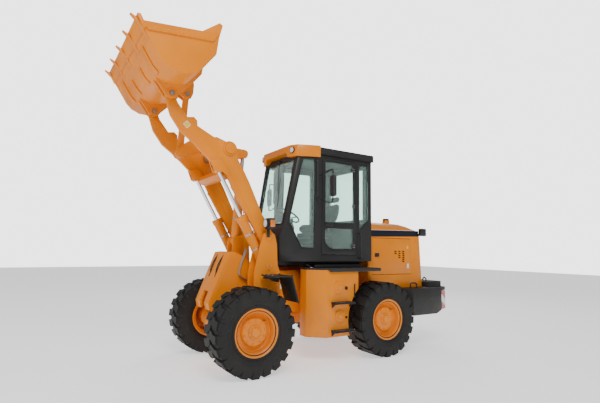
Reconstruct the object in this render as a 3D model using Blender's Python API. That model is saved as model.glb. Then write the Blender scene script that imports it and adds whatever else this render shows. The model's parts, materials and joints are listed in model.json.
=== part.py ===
"""Articulated wheel loader, metres. Ground is z = 0, the front is -Y and the left side is +X."""

from math import cos, pi, radians, sin

import bmesh
import bpy
from mathutils import Matrix, Vector

# Driving dimensions
WHEELBASE = 2.142
TRACK = 1.507
TYRE_DIAMETER = 1.075
TYRE_WIDTH = 0.400
RIM_SEAT = 0.254
WHEEL_STEPS = 28
ARM_SPACING = 0.866
ARM_PLATE = 0.050
BUCKET_WIDTH = 1.900
BUCKET_WALL = 0.020
CAB_HALF = 0.610
CAB_FLOOR = 1.372
CAB_TOP = 2.930
CAB_WALL = 0.045
HOOD_HALF = 0.530
HOOD_SHEET = 0.008
BODY_HALF = 0.800

# Clearances
SEAT_GAP = 0.0003
PIN_GAP = 0.001
HINGE_GAP = 0.001
SWING_GAP = 0.006

# Linkage points, (y, z)
BOOM_PIVOT = (-0.72, 1.69)
LIFT_BASE = (-0.72, 1.29)
LIFT_EYE = (-1.45, 2.575)
BUCKET_PIN = (-2.10, 3.44)
LINK_TOP = (-1.776, 3.627)
LINK_FOOT = (-1.83, 2.80)
CRANK_PIVOT = (-1.30, 2.855)
CRANK_EYE = (-0.90, 2.92)
TILT_BASE = (-0.98, 1.65)

WHEEL_Z = TYRE_DIAMETER / 2
FRONT_Y = -WHEELBASE / 2
REAR_Y = WHEELBASE / 2
WHEEL_X = TRACK / 2
ARM_X = ARM_SPACING / 2
TOWER_PLATES = ((0.328, 0.353), (0.513, 0.538))
TOWER_IN, TOWER_OUT = TOWER_PLATES[0][0], TOWER_PLATES[1][1]
TILT_LUG = 0.085

PAINTS = {
    "paint": ((0.78, 0.27, 0.012), 0.35, 0.0),
    "charcoal": ((0.045, 0.043, 0.040), 0.55, 0.0),
    "rubber": ((0.014, 0.013, 0.012), 0.85, 0.0),
    "glass": ((0.55, 0.85, 0.78), 0.05, 0.0),
    "steel": ((0.35, 0.35, 0.34), 0.45, 1.0),
    "chrome": ((0.75, 0.75, 0.76), 0.12, 1.0),
    "black": ((0.012, 0.012, 0.013), 0.50, 0.0),
    "fabric": ((0.03, 0.03, 0.035), 0.90, 0.0),
}


def clear_scene():
    for obj in list(bpy.data.objects):
        bpy.data.objects.remove(obj)
    model = bpy.data.collections.new("wheel_loader")
    bpy.context.scene.collection.children.link(model)
    return model


def make_finish(name):
    colour, roughness, metallic = PAINTS[name]
    finish = bpy.data.materials.new(name)
    finish.use_nodes = True
    shader = finish.node_tree.nodes["Principled BSDF"]
    shader.inputs["Base Color"].default_value = (*colour, 1)
    shader.inputs["Roughness"].default_value = roughness
    shader.inputs["Metallic"].default_value = metallic
    finish.diffuse_color = (*colour, 1)
    return finish


MODEL = clear_scene()
FINISHES = {name: make_finish(name) for name in PAINTS}


# Solid building blocks


def solid(name, points, faces):
    """A closed mesh object in the model's collection, with its normals outwards."""
    mesh = bpy.data.meshes.new(name)
    mesh.from_pydata([tuple(p) for p in points], [], faces)
    work = bmesh.new()
    work.from_mesh(mesh)
    bmesh.ops.remove_doubles(work, verts=work.verts, dist=0.00001)
    bmesh.ops.recalc_face_normals(work, faces=work.faces)
    work.to_mesh(mesh)
    work.free()
    obj = bpy.data.objects.new(name, mesh)
    MODEL.objects.link(obj)
    return obj


def box(low, high, name="tool"):
    (a, b, c), (d, e, f) = low, high
    points = [(x, y, z) for x in (a, d) for y in (b, e) for z in (c, f)]
    faces = [(0, 1, 3, 2), (4, 6, 7, 5), (0, 4, 5, 1), (2, 3, 7, 6), (0, 2, 6, 4), (1, 5, 7, 3)]
    return solid(name, points, faces)


def loft(sections, name="tool"):
    """Joins closed loops of equal length into one capped solid."""
    count = len(sections[0])
    points = [p for section in sections for p in section]
    faces = [tuple(range(count)), tuple(range(len(points) - count, len(points)))]
    for k in range(len(sections) - 1):
        for i in range(count):
            j = (i + 1) % count
            faces.append((k * count + i, k * count + j, (k + 1) * count + j, (k + 1) * count + i))
    return solid(name, points, faces)


def flat_faced(obj):
    """Splits a form's warped faces into triangles, so that every face is flat."""
    work = bmesh.new()
    work.from_mesh(obj.data)
    bmesh.ops.triangulate(work, faces=work.faces, quad_method="FIXED")
    work.to_mesh(obj.data)
    work.free()
    return obj


def plate(outline, low, high, axis="x", name="tool"):
    """An outline drawn across one axis and given thickness along it, from low to high."""
    place = {
        "x": lambda w, u, v: (w, u, v),
        "y": lambda w, u, v: (u, w, v),
        "z": lambda w, u, v: (u, v, w),
    }[axis]
    return loft([[place(w, u, v) for u, v in outline] for w in (low, high)], name)


def lathe(profile, origin, axis, steps=24, name="tool"):
    """Turns a closed (along, radius) profile about an axis through origin."""
    axis = Vector(axis).normalized()
    side = axis.orthogonal().normalized()
    other = axis.cross(side)
    origin = Vector(origin)
    points, faces = [], []
    for along, radius in profile:
        for k in range(steps):
            turn = 2 * pi * k / steps
            points.append(origin + axis * along + (side * cos(turn) + other * sin(turn)) * radius)
    count = len(profile)
    for i in range(count):
        j = (i + 1) % count
        for k in range(steps):
            m = (k + 1) % steps
            corner = [i * steps + k, j * steps + k, j * steps + m, i * steps + m]
            if profile[i][1] == 0 and profile[j][1] == 0:
                continue
            if profile[j][1] == 0:
                corner = corner[:1] + [j * steps] + corner[3:]
            elif profile[i][1] == 0:
                corner = [i * steps] + corner[1:3]
            faces.append(tuple(corner))
    used = sorted({k for face in faces for k in face})
    order = {k: n for n, k in enumerate(used)}
    return solid(name, [points[k] for k in used], [tuple(order[k] for k in f) for f in faces])


def rod(start, end, radius, steps=20, name="tool"):
    start, end = Vector(start), Vector(end)
    axis = (end - start).normalized()
    side = axis.orthogonal().normalized() * radius
    other = axis.cross(side)
    ring = [side * cos(t) + other * sin(t) for t in (2 * pi * k / steps for k in range(steps))]
    return loft([[start + spoke for spoke in ring], [end + spoke for spoke in ring]], name)


def cross_rod(centre, half, radius, x=0.0, steps=24):
    """A round bar across the machine through a (y, z) point."""
    y, z = centre
    return rod((x - half, y, z), (x + half, y, z), radius, steps)


def pipe(path, radius, steps=10, name="tool"):
    """A round bar along a bent path, closed at both ends."""
    path = [Vector(p) for p in path]
    side = (path[1] - path[0]).orthogonal().normalized()
    sections = []
    for k, point in enumerate(path):
        before = (point - path[k - 1]).normalized() if k else (path[1] - point).normalized()
        after = (path[k + 1] - point).normalized() if k + 1 < len(path) else before
        along = (before + after).normalized()
        side = (side - along * side.dot(along)).normalized()
        other = along.cross(side)
        turns = [2 * pi * n / steps for n in range(steps)]
        sections.append([point + (side * cos(t) + other * sin(t)) * radius for t in turns])
    return loft(sections, name)


def boolean(base, tools, operation):
    for tool in tools:
        change = base.modifiers.new("change", "BOOLEAN")
        change.operation = operation
        change.solver = "EXACT"
        change.object = tool
    graph = bpy.context.evaluated_depsgraph_get()
    mesh = bpy.data.meshes.new_from_object(base.evaluated_get(graph))
    base.modifiers.clear()
    base.data = mesh
    for tool in tools:
        bpy.data.objects.remove(tool)
    return base


def join(base, *tools):
    return boolean(base, tools, "UNION")


def cut(base, *tools):
    return boolean(base, tools, "DIFFERENCE")


def keep(base, tool):
    return boolean(base, [tool], "INTERSECT")


def finish(obj, name, paint):
    obj.name = name
    obj.data.name = name
    obj.data.materials.clear()
    obj.data.materials.append(FINISHES[paint])
    return obj


def mirrored(obj, name):
    """A copy of a left-hand part for the right-hand side."""
    mesh = obj.data.copy()
    mesh.transform(Matrix.Scale(-1, 4, (1, 0, 0)))
    mesh.flip_normals()
    twin = bpy.data.objects.new(name, mesh)
    mesh.name = name
    MODEL.objects.link(twin)
    return twin


def disc_outline(centre, radius, first, last, count):
    """Points of an arc, in degrees, about a centre."""
    turns = [radians(first + (last - first) * k / (count - 1)) for k in range(count)]
    return [(centre[0] + radius * cos(t), centre[1] + radius * sin(t)) for t in turns]


def both_sides(outline):
    """Closes a half outline of (x, y) points, x positive, by its mirror image."""
    return outline + [(-x, y) for x, y in reversed(outline)]


# Running gear


def tyre(name, x, y):
    half, outer = TYRE_WIDTH / 2, TYRE_DIAMETER / 2 / cos(pi / WHEEL_STEPS)
    side = [(0.1650, RIM_SEAT + SEAT_GAP), (0.1650, 0.300), (half, 0.400)]
    crown = side + [(0.190, 0.500), (0.165, outer)]
    inside = [(0.140, RIM_SEAT + SEAT_GAP), (0.170, 0.400), (0.130, 0.495)]
    profile = crown + [(-a, r) for a, r in reversed(crown)]
    profile += [(-a, r) for a, r in inside] + list(reversed(inside))
    wheel = lathe(profile, (x, y, WHEEL_Z), (1 if x > 0 else -1, 0, 0), WHEEL_STEPS)
    return finish(wheel, name, "rubber")


def rim(name, x, y):
    """The dish faces outboard, so the profile runs away from the machine's centre line."""
    flange = 0.1650 + SEAT_GAP
    profile = [
        (0.118, 0), (0.113, 0.160), (0.070, 0.172), (0.066, 0.226), (0.155, 0.242),
        (0.182, 0.272), (0.182, 0.294), (flange, 0.294), (flange, RIM_SEAT),
        (-flange, RIM_SEAT), (-flange, 0.294), (-0.182, 0.294), (-0.182, 0.272),
        (-0.155, 0.242), (0.030, 0.226), (0.040, 0.172), (0.040, 0),
    ]
    wheel = lathe(profile, (x, y, WHEEL_Z), (1 if x > 0 else -1, 0, 0), WHEEL_STEPS)
    return finish(wheel, name, "paint")


def axle(name, y, carrier):
    """Drive axle: centre housing, two tapered tubes and the wheel-end hubs."""
    end = WHEEL_X + 0.040 - PIN_GAP
    half = [(0, 0.160), (0.110, 0.160), (0.170, 0.135), (0.330, 0.085), (0.590, 0.085)]
    half += [(0.600, 0.150), (end, 0.150), (end, 0)]
    profile = [(-a, r) for a, r in reversed(half[1:])] + half
    body = lathe(profile, (0, y, WHEEL_Z), (1, 0, 0), 20)
    nose = rod((0, y, WHEEL_Z), (0, y + carrier * 0.30, WHEEL_Z), 0.095)
    tail = rod((0, y, WHEEL_Z), (0, y - carrier * 0.30, WHEEL_Z), 0.080)
    return finish(join(body, nose, tail), name, "paint")


# Rear frame and engine house


def rear_frame():
    frame = box((-0.30, 0.28, 0.66), (0.30, 1.64, 0.98))
    inside = box((-0.27, 0.31, 0.50), (0.27, 1.61, 0.95))
    cut(frame, inside)
    cradle_y = (REAR_Y - 0.25, REAR_Y + 0.25)
    cradles = [box((-0.285, y - 0.02, 0.45), (0.285, y + 0.02, 0.965)) for y in cradle_y]
    ear = disc_outline((0, 0), 0.11, 180, 360, 13) + [(0.26, 0.29), (-0.26, 0.29)]
    ears = [plate(ear, low, low + 0.06, "z") for low in (0.67, 0.90)]
    posts = []
    for side in (-1, 1):
        for y in (0.36, 0.95):
            x = side * 0.26
            posts.append(box((x - 0.04, y - 0.04, 0.97), (x + 0.04, y + 0.04, 1.30)))
            posts.append(rod((x, y, 1.29), (x, y, CAB_FLOOR - SEAT_GAP), 0.05))
        beams = ((0.29, 0.34), (0.54, 0.59))
        for low, high in beams:
            reach = sorted((side * 0.29, side * (0.45 - SEAT_GAP)))
            posts.append(box((reach[0], low, 0.70), (reach[1], high, 0.94)))
    join(frame, *cradles, *ears, *posts)
    bores = [rod((0, 0, 0.6), (0, 0, 1.0), 0.041)]
    trunnion = rod((0, REAR_Y - 0.4, WHEEL_Z), (0, REAR_Y + 0.4, WHEEL_Z), 0.096)
    return finish(cut(frame, *bores, trunnion), "rear_frame", "paint")


def hood_section(y, shrink, low, drop):
    half = HOOD_HALF - shrink
    top = 2.02 - shrink - drop
    side = [(half, low), (half, 1.87 - drop * 0.4 - shrink), (half - 0.035, 1.935 - drop * 0.6 - shrink)]
    side += [(half - 0.15, 1.995 - drop - shrink), (half - 0.35, top)]
    return [(x, y, z) for x, z in both_sides(side)]


def hood_body(shrink, low):
    sections = [(CAB_REAR + SEAT_GAP + shrink, 0.0), (1.85, 0.01), (2.06 - shrink * 0.5, 0.045), (2.20 - shrink, 0.10)]
    loops = [hood_section(y, shrink, low, drop) for y, drop in sections]
    tail = [(x, y + 0.06 * (1.9 - z), z) for x, y, z in loops[-1]]
    return flat_faced(loft(loops[:-1] + [tail]))


def hood():
    """Sheet-metal engine house with side-door openings, rear grille slots and a filler neck."""
    shell = hood_body(0, 0.94 + SEAT_GAP)
    cut(shell, hood_body(HOOD_SHEET, 0.80))
    doors = box((-0.6, DOOR_FRONT, DOOR_LOW), (0.6, DOOR_REAR, DOOR_TOP))
    slots = [box((-0.40, 2.1, z), (0.40, 2.5, z + 0.035)) for z in (1.10 + 0.075 * k for k in range(9))]
    over_frame = box((-0.31, 1.0, 0.90), (0.31, 1.3, 0.98 + SEAT_GAP))
    cut(shell, doors, over_frame, *slots)
    neck = rod((0.20, 1.75, 1.99), (0.20, 1.75, 2.06), 0.06)
    return finish(join(shell, neck), "hood", "paint")


DOOR_FRONT, DOOR_REAR = 1.13, 2.00
DOOR_LOW, DOOR_TOP = 1.155, 1.745
VENTS = ((1.62, 2), (1.71, 4), (1.80, 6))


def hood_door():
    low = (HOOD_HALF - HOOD_SHEET, DOOR_FRONT + SWING_GAP, DOOR_LOW + SWING_GAP)
    high = (HOOD_HALF, DOOR_REAR - HINGE_GAP, DOOR_TOP - SWING_GAP)
    door = box(low, high)
    vents = []
    for y, rows in VENTS:
        for k in range(rows):
            z = 1.54 - 0.033 * k
            vents.append(box((0.5, y, z - 0.020), (0.6, y + 0.05, z)))
    cut(door, *vents)
    return finish(door, "engine_door_left", "paint")


def engine():
    block = box((-0.26, 1.08, 1.02), (0.26, 1.92, 1.62))
    sump = box((-0.20, 1.20, 0.9803), (0.20, 1.80, 1.03))
    head = box((-0.15, 1.15, 1.60), (0.15, 1.80, 1.76))
    return finish(join(block, sump, head), "engine_block", "black")


def radiator():
    core = box((-0.42, 2.06, 0.94 + SEAT_GAP), (0.42, 2.14, 1.80))
    return finish(core, "radiator", "black")


def counterweight():
    plan = both_sides([(0.60, 1.640 + SEAT_GAP), (BODY_HALF, 1.76), (BODY_HALF, 2.41), (0.69, 2.66)])
    block = plate(plan, 0.52, 0.94, "z")
    slope = plate([(2.27, 0.50), (2.80, 0.50), (2.80, 0.74)], -1, 1, "x")
    ridge = box((-0.62, 2.30, 0.93), (0.62, 2.64, 1.03))
    arches = rod((-1, REAR_Y, WHEEL_Z), (1, REAR_Y, WHEEL_Z), 0.575, 32)
    block = join(cut(block, slope), ridge)
    return finish(cut(block, arches), "counterweight", "charcoal")


STEP_LEVELS = (0.42, 0.80)


def tank():
    """Side tank with two steps and a chamfered front corner that the front tyre swings past."""
    x = 0.45
    plan = [(x, -0.156), (0.60, -0.156), (BODY_HALF, 0.06), (BODY_HALF, 0.62), (x, 0.62)]
    body = plate(plan, 0.345, 1.2607, "z")
    arch = rod((0, REAR_Y, WHEEL_Z), (1.5, REAR_Y, WHEEL_Z), 0.640, 32)
    covers = [rod((0.79, y, z), (0.812, y, z), 0.085, 20) for y, z in ((0.26, 1.02), (0.28, 0.62))]
    steps = []
    for z in STEP_LEVELS:
        steps.append(box((0.79, 0.12, z), (0.93, 0.46, z + 0.022)))
        web = [(0.79, z - 0.06), (0.81, z - 0.06), (0.90, z), (0.90, z + 0.01), (0.79, z + 0.01)]
        steps += [plate(web, y, y + 0.012, "y") for y in (0.13, 0.438)]
    return finish(join(cut(body, arch), *covers, *steps), "fuel_tank", "paint")


def platform():
    """Walkway plate above the tank, with a turned-down outer edge."""
    plan = [(0.44, -0.156), (0.60, -0.156), (0.83, 0.09), (0.83, 1.04), (0.44, 1.04)]
    deck = plate(plan, 1.261, 1.281, "z")
    edge = box((0.815, 0.095, 1.235), (0.83, 1.04, 1.270))
    return finish(join(deck, edge), "platform_left", "charcoal")


# Cab

CAB_LEVELS = (  # z, y of the front, half width of the front
    (CAB_FLOOR, -0.49, 0.42),
    (1.72, -0.50, 0.42),
    (1.94, -0.43, 0.445),
    (CAB_TOP, -0.25, 0.500),
)
CAB_REAR = 1.045
CAB_SHOULDER = 0.02


def cab_body(shrink, low=None, high=None):
    """The cab's outer form, moved inwards by shrink. Its ends may be moved to other heights."""
    sections = []
    for k, (z, front, half) in enumerate(CAB_LEVELS):
        if k == 0 and low is not None:
            z = low
        if k == len(CAB_LEVELS) - 1 and high is not None:
            z = high
        side = [(half - shrink, front + shrink), (CAB_HALF - shrink, CAB_SHOULDER + shrink * 0.3)]
        side += [(CAB_HALF - shrink, CAB_REAR - shrink)]
        sections.append([(x, y, z) for x, y in both_sides(side)])
    return flat_faced(loft(sections))


def windscreen_hole(grow=0.0):
    g = grow
    outline = [(-0.385 - g, 1.90 - g), (0.385 + g, 1.90 - g), (0.42 + g, 2.86 + g), (-0.42 - g, 2.86 + g)]
    return plate(outline, -0.7, 0.0, "y")


def front_quarter_hole(grow=0.0, low=0.3, high=1.0):
    g = grow
    outline = [(-0.19 - g, 2.86 + g), (-0.375 - g, 1.93 - g), (-0.19 - g, 1.56 - g)]
    outline += [(-0.02 + g, 1.56 - g), (-0.02 + g, 2.86 + g)]
    return plate(outline, low, high, "x")


def rear_quarter_hole(grow=0.0, low=0.3, high=1.0):
    g = grow
    outline = [(0.79 - g, 2.86 + g), (0.79 - g, 1.86 - g), (0.985 + g, 2.00 - g), (0.985 + g, 2.86 + g)]
    return plate(outline, low, high, "x")


def rear_hole(grow=0.0):
    g = grow
    return box((-0.45 - g, 0.9, 2.02 - g), (0.45 + g, 1.2, 2.84 + g))


SIDE_FRONT, SIDE_REAR = 0.10, 0.735
SIDE_LOW, SIDE_TOP = 1.47, 2.89


def side_hole(grow=0.0, low=0.3, high=1.0):
    g = grow
    return box((low, SIDE_FRONT - g, SIDE_LOW - g), (high, SIDE_REAR + g, SIDE_TOP + g))


def cab_shell():
    shell = cab_body(0)
    cut(shell, cab_body(CAB_WALL, CAB_FLOOR + 0.05, CAB_TOP + 0.1))
    holes = [windscreen_hole(), rear_hole(), side_hole()]
    holes += [front_quarter_hole(), rear_quarter_hole()]
    holes += [front_quarter_hole(0, -1.0, -0.3), rear_quarter_hole(0, -1.0, -0.3)]
    holes += [side_hole(-0.04, -1.0, -0.3)]
    return finish(cut(shell, *holes), "cab_shell", "charcoal")


def pane(hole, name):
    """A sheet of glass set half way into the cab wall and trimmed to its opening."""
    sheet = cab_body(0.016, CAB_FLOOR + 0.02, CAB_TOP - 0.01)
    cut(sheet, cab_body(0.022, CAB_FLOOR, CAB_TOP + 0.02))
    return finish(keep(sheet, hole), name, "glass")


def cab_roof():
    plan = both_sides([(0.635, 0.05), (0.635, 1.075)])
    roof = plate(plan, CAB_TOP + SEAT_GAP, 3.035, "z")
    return finish(roof, "cab_roof", "charcoal")


def visor():
    """Front roof cowl that wraps round both corners and arches over the windscreen."""
    half = [(0.40, -0.345), (0.52, -0.285), (0.635, 0.0), (0.635, 0.05 - SEAT_GAP)]
    body = plate(both_sides(half), 2.885, 3.055, "z")
    arch = [(-0.40, 2.80), (-0.30, 2.955), (0.30, 2.955), (0.40, 2.80)]
    cut(body, plate(arch, -0.6, 0.1, "y"), cab_body(-SEAT_GAP, 1.0, CAB_TOP + SEAT_GAP))
    return finish(body, "roof_visor", "paint")


def cab_door():
    """Side door frame with an upper and a lower light, hinged on its rear edge."""
    low = (CAB_HALF - 0.034, SIDE_FRONT + SWING_GAP, SIDE_LOW + SWING_GAP)
    high = (CAB_HALF, SIDE_REAR - HINGE_GAP, SIDE_TOP - SWING_GAP)
    door = box(low, high)
    cut(door, *door_lights())
    latch = box((CAB_HALF - 0.01, SIDE_FRONT + 0.04, 1.885), (CAB_HALF + 0.03, SIDE_FRONT + 0.16, 1.915))
    return finish(join(door, latch), "cab_door", "charcoal")


def door_lights(shrink=0.0):
    s = shrink
    front, rear = SIDE_FRONT + 0.045 + s, SIDE_REAR - 0.045 - s
    upper = box((0.5, front, 1.935 + s), (0.7, rear, 2.845 - s))
    lower = [(front, 1.865 - s), (rear, 1.865 - s), (rear, 1.55 + s), (front + 0.12, 1.55 + s), (front, 1.64 + s)]
    return upper, plate(lower, 0.5, 0.7, "x")


def door_glass(index, name):
    lights = door_lights(SEAT_GAP)
    glass = lights[index]
    bpy.data.objects.remove(lights[1 - index])
    sheet = box((CAB_HALF - 0.022, 0, 1.4), (CAB_HALF - 0.016, 1, 3.0))
    return finish(keep(sheet, glass), name, "glass")


def seat():
    """Operator's seat: cushion, back and headrest in one covered form."""
    side = [(0.16, 1.80), (0.60, 1.78), (0.66, 1.86), (0.78, 2.34), (0.74, 2.40), (0.66, 2.38)]
    side += [(0.54, 1.92), (0.18, 1.93)]
    form = plate(side, -0.23, 0.23, "x")
    return finish(form, "seat", "fabric")


def seat_base():
    base = box((-0.20, 0.20, CAB_FLOOR + 0.05 + SEAT_GAP), (0.20, 0.58, 1.70))
    top = plate([(0.17, 1.69), (0.59, 1.69), (0.59, 1.7795), (0.17, 1.7985)], -0.21, 0.21, "x")
    return finish(join(base, top), "seat_base", "black")


WHEEL_HUB = Vector((0, -0.112, 2.060))
WHEEL_AXIS = Vector((0, 0.52, 0.854)).normalized()


def console():
    """Dash pedestal and the raked steering column."""
    side = [(-0.38, CAB_FLOOR + 0.05 + SEAT_GAP), (-0.16, CAB_FLOOR + 0.05 + SEAT_GAP)]
    side += [(-0.13, 1.86), (-0.17, 1.96), (-0.33, 1.90)]
    dash = plate(side, -0.22, 0.22, "x")
    top = WHEEL_HUB - WHEEL_AXIS * SEAT_GAP
    column = rod(top - WHEEL_AXIS * 0.25, top, 0.032)
    return finish(join(dash, column), "dash_console", "black")


def steering_wheel():
    centre, axis = WHEEL_HUB, WHEEL_AXIS
    profile = [(0.02 + 0.015 * cos(t), 0.18 + 0.015 * sin(t)) for t in (2 * pi * k / 8 for k in range(8))]
    ring = lathe(profile, centre, axis, 28)
    hub = rod(centre, centre + axis * 0.04, 0.04)
    across = axis.orthogonal().normalized()
    spokes = []
    for turn in (90, 210, 330):
        arm = Matrix.Rotation(radians(turn), 3, axis) @ across
        spokes.append(rod(centre + axis * 0.02, centre + axis * 0.02 + arm * 0.18, 0.011, 8))
    return finish(join(ring, hub, *spokes), "steering_wheel", "black")


def mirror():
    """Rear-view mirror head on a bent tube, fixed to the pillar."""
    head = box((0.87, 0.030, 2.28), (0.99, 0.075, 2.58))
    start = CAB_HALF + SEAT_GAP
    tube = [(start, 0.05, 2.62), (0.66, 0.05, 2.62), (0.88, 0.05, 2.66), (0.93, 0.05, 2.63)]
    tube += [(0.93, 0.05, 2.24), (0.88, 0.05, 2.20), (0.66, 0.05, 2.25), (start, 0.05, 2.25)]
    return finish(join(pipe(tube, 0.011, 8), head), "mirror_left", "black")


# Front frame


AXLE_TUBE_TOP = WHEEL_Z + 0.085 * cos(pi / 20)


def front_frame():
    """Centre box with a raked nose, two pairs of tower plates and the articulation forks."""
    side = [(-1.42, 0.74), (-1.44, 0.83), (-1.18, 1.49), (-1.10, 1.50), (-0.94, 1.43), (-0.69, 1.20)]
    side += [(-0.45, 1.15), (-0.16, 1.15), (-0.16, 0.585), (-0.62, 0.585), (-0.78, 0.72)]
    body = plate(side, -0.25, 0.25, "x")
    hollow = [(-1.385, 0.60), (-1.40, 0.83), (-1.16, 1.455), (-1.10, 1.465), (-0.96, 1.40), (-0.71, 1.17)]
    hollow += [(-0.60, 1.12), (-0.60, 0.60)]
    crank_room = box((-0.085, -1.50, 0.60), (0.085, -1.30, 0.97))
    cut(body, plate(hollow, -0.225, 0.225, "x"), crank_room)
    hitch = box((-0.4, -0.44, 0.62), (0.4, 0.1, 1.115))
    narrow = [box((s * 0.32 - 0.12, -0.44, 0.4), (s * 0.32 + 0.12, 0.1, 1.3)) for s in (-1, 1)]
    cut(body, hitch, *narrow)
    fork = disc_outline((0, 0), 0.11, 0, 180, 13) + [(-0.20, -0.46), (0.20, -0.46)]
    forks = [plate(fork, 1.080, 1.115, "z"), plate(fork, 0.585, 0.620, "z")]
    forks += [box((-0.20, -0.46, 0.60), (0.20, -0.42, 1.10))]
    stubs = [rod((0, 0, 0.60), (0, 0, 0.735), 0.040), rod((0, 0, 0.895), (0, 0, 1.10), 0.040)]
    webs = [plate([(s * 0.10, -0.44), (s * 0.20, -0.44), (s * 0.20, -0.20)], 0.60, 1.10, "z") for s in (-1, 1)]
    join(body, *forks, *stubs, *webs)
    tower = [(-0.92, 0.78), (-0.93, 1.22), (-0.845, 1.62), (-0.80, 1.745), (-0.755, 1.775)]
    tower += [(-0.685, 1.775), (-0.635, 1.735), (-0.60, 1.60), (-0.585, 1.33), (-0.54, 1.22)]
    tower += [(-0.54, 0.78)]
    cheek = [(-0.57, 0.80), (-0.57, 1.235), (-0.10, 1.235), (-0.03, 1.15), (-0.03, 0.64), (-0.50, 0.64)]
    extra = [plate(cheek, x - 0.010, x + 0.010, "x") for x in (-0.262, 0.262)]
    for side in (-1, 1):
        for low, high in TOWER_PLATES:
            span = sorted((side * low, side * high))
            extra.append(plate(tower, span[0], span[1], "x"))
        span = sorted((side * 0.21, side * TOWER_OUT))
        extra.append(box((span[0], -1.14, 0.76), (span[1], -0.54, 0.80)))
        span = sorted((side * 0.335, side * 0.48))
        extra.append(box((span[0], -1.13, AXLE_TUBE_TOP + SEAT_GAP), (span[1], -1.01, 0.78)))
        extra.append(cross_rod(BOOM_PIVOT, 0.104, 0.040, side * ARM_X))
        extra.append(cross_rod(LIFT_BASE, 0.104, 0.028, side * ARM_X))
        lug_x = side * TILT_LUG
        extra.append(box((lug_x - 0.013, -1.06, 1.40), (lug_x + 0.013, -0.90, 1.66)))
        extra.append(cross_rod(TILT_BASE, 0.013, 0.075, lug_x))
    extra.append(box((-0.34, -0.575, 0.98), (0.34, -0.545, 1.355)))
    extra.append(cross_rod(TILT_BASE, TILT_LUG + 0.013, 0.028))
    return finish(join(body, *extra), "front_frame", "paint")


def fender():
    outer = [(-0.86, 1.190), (-0.86, 1.212), (-0.61, 1.212), (-0.59, 1.200), (-0.490, 0.885), (-0.490, 0.865)]
    inner = [(-0.510, 0.865), (-0.510, 0.885), (-0.606, 1.184), (-0.62, 1.190)]
    skin = plate(outer + inner, 0.60, 0.94, "x")
    web = plate([(-0.84, 1.20), (-0.60, 1.20), (-0.60, 1.10), (-0.70, 1.12)], 0.60, 0.615, "x")
    arm = box((TOWER_OUT + SEAT_GAP, -0.80, 1.15), (0.61, -0.70, 1.20))
    return finish(join(skin, web, arm), "front_fender_left", "charcoal")


def head_lamp():
    """Round lamp in a box housing on a foot above the tower."""
    housing = box((0.530, -0.795, 1.805), (0.670, -0.700, 1.955))
    bezel = rod((0.600, -0.825, 1.880), (0.600, -0.79, 1.880), 0.064, 24)
    signal = box((0.665, -0.785, 1.83), (0.697, -0.715, 1.93))
    foot = box((TOWER_OUT + SEAT_GAP, -0.765, 1.70), (0.562, -0.725, 1.83))
    return finish(join(housing, bezel, signal, foot), "head_lamp_left", "black")


# Boom, linkage and bucket

ARM_OUTLINE = (
    (-0.640, 1.775), (-0.748, 1.933), (-0.799, 2.018), (-0.902, 2.229), (-1.004, 2.438),
    (-1.103, 2.611), (-1.172, 2.720), (-1.205, 2.850), (-1.272, 2.905), (-1.346, 2.942),
    (-1.426, 2.962), (-1.503, 2.970), (-1.748, 3.090), (-1.754, 3.156), (-1.799, 3.198),
    (-1.884, 3.183), (-2.014, 3.345), (-2.038, 3.405), (-2.036, 3.465), (-2.062, 3.500),
    (-2.100, 3.512), (-2.145, 3.497), (-2.172, 3.450), (-2.170, 3.395), (-2.094, 3.173),
    (-1.959, 2.989), (-1.839, 2.903), (-1.688, 2.780), (-1.547, 2.652), (-1.489, 2.592),
    (-1.400, 2.505), (-1.299, 2.410), (-1.213, 2.290), (-1.116, 2.128), (-1.038, 2.005),
    (-0.869, 1.746), (-0.828, 1.660), (-0.790, 1.605), (-0.720, 1.580), (-0.650, 1.605),
    (-0.612, 1.660), (-0.612, 1.720),
)


def boom():
    """Two arms tied by a box beam, with the bores of the crank shaft and the bucket pins."""
    arms = []
    for side in (-1, 1):
        span = sorted((side * (ARM_X - ARM_PLATE / 2), side * (ARM_X + ARM_PLATE / 2)))
        arms.append(plate(ARM_OUTLINE, span[0], span[1], "x"))
        for centre, radius, half in ((BOOM_PIVOT, 0.085, 0.070), (CRANK_PIVOT, 0.095, 0.045)):
            arms.append(cross_rod(centre, half, radius, side * ARM_X))
        lug = [(-1.560, 2.665), (-1.505, 2.530), (-1.462, 2.512), (-1.395, 2.535), (-1.330, 2.480)]
        lug += [(-1.300, 2.560), (-1.430, 2.700)]
        for cheek in (-1, 1):
            span = sorted(side * ARM_X + cheek * across for across in (0.020, 0.048))
            arms.append(plate(lug, span[0], span[1], "x"))
    beam = [(-1.43, 2.51), (-1.38, 2.455), (-1.30, 2.450), (-1.24, 2.49), (-1.23, 2.56), (-1.30, 2.60)]
    beam += [(-1.38, 2.59)]
    body = join(arms[0], *arms[1:], plate(beam, -0.43, 0.43, "x"))
    bores = []
    for side in (-1, 1):
        x = side * ARM_X
        bores.append(cross_rod(BOOM_PIVOT, 0.08, 0.040 + PIN_GAP, x))
        bores.append(cross_rod(BUCKET_PIN, 0.06, 0.034 + PIN_GAP, x))
        bores.append(cross_rod(LIFT_EYE, 0.0295, 0.085, x))
        foot = (LIFT_EYE[0] + 0.14, LIFT_EYE[1] - 0.25)
        bores.append(rod_slot(LIFT_EYE, foot, 0.070, x))
        bores.append(rod((x, -1.411, 2.477), (x, -1.339, 2.297), 0.084))
    bores.append(cross_rod(CRANK_PIVOT, 0.6, 0.060 + PIN_GAP))
    return finish(cut(body, *bores), "boom", "paint")


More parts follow.
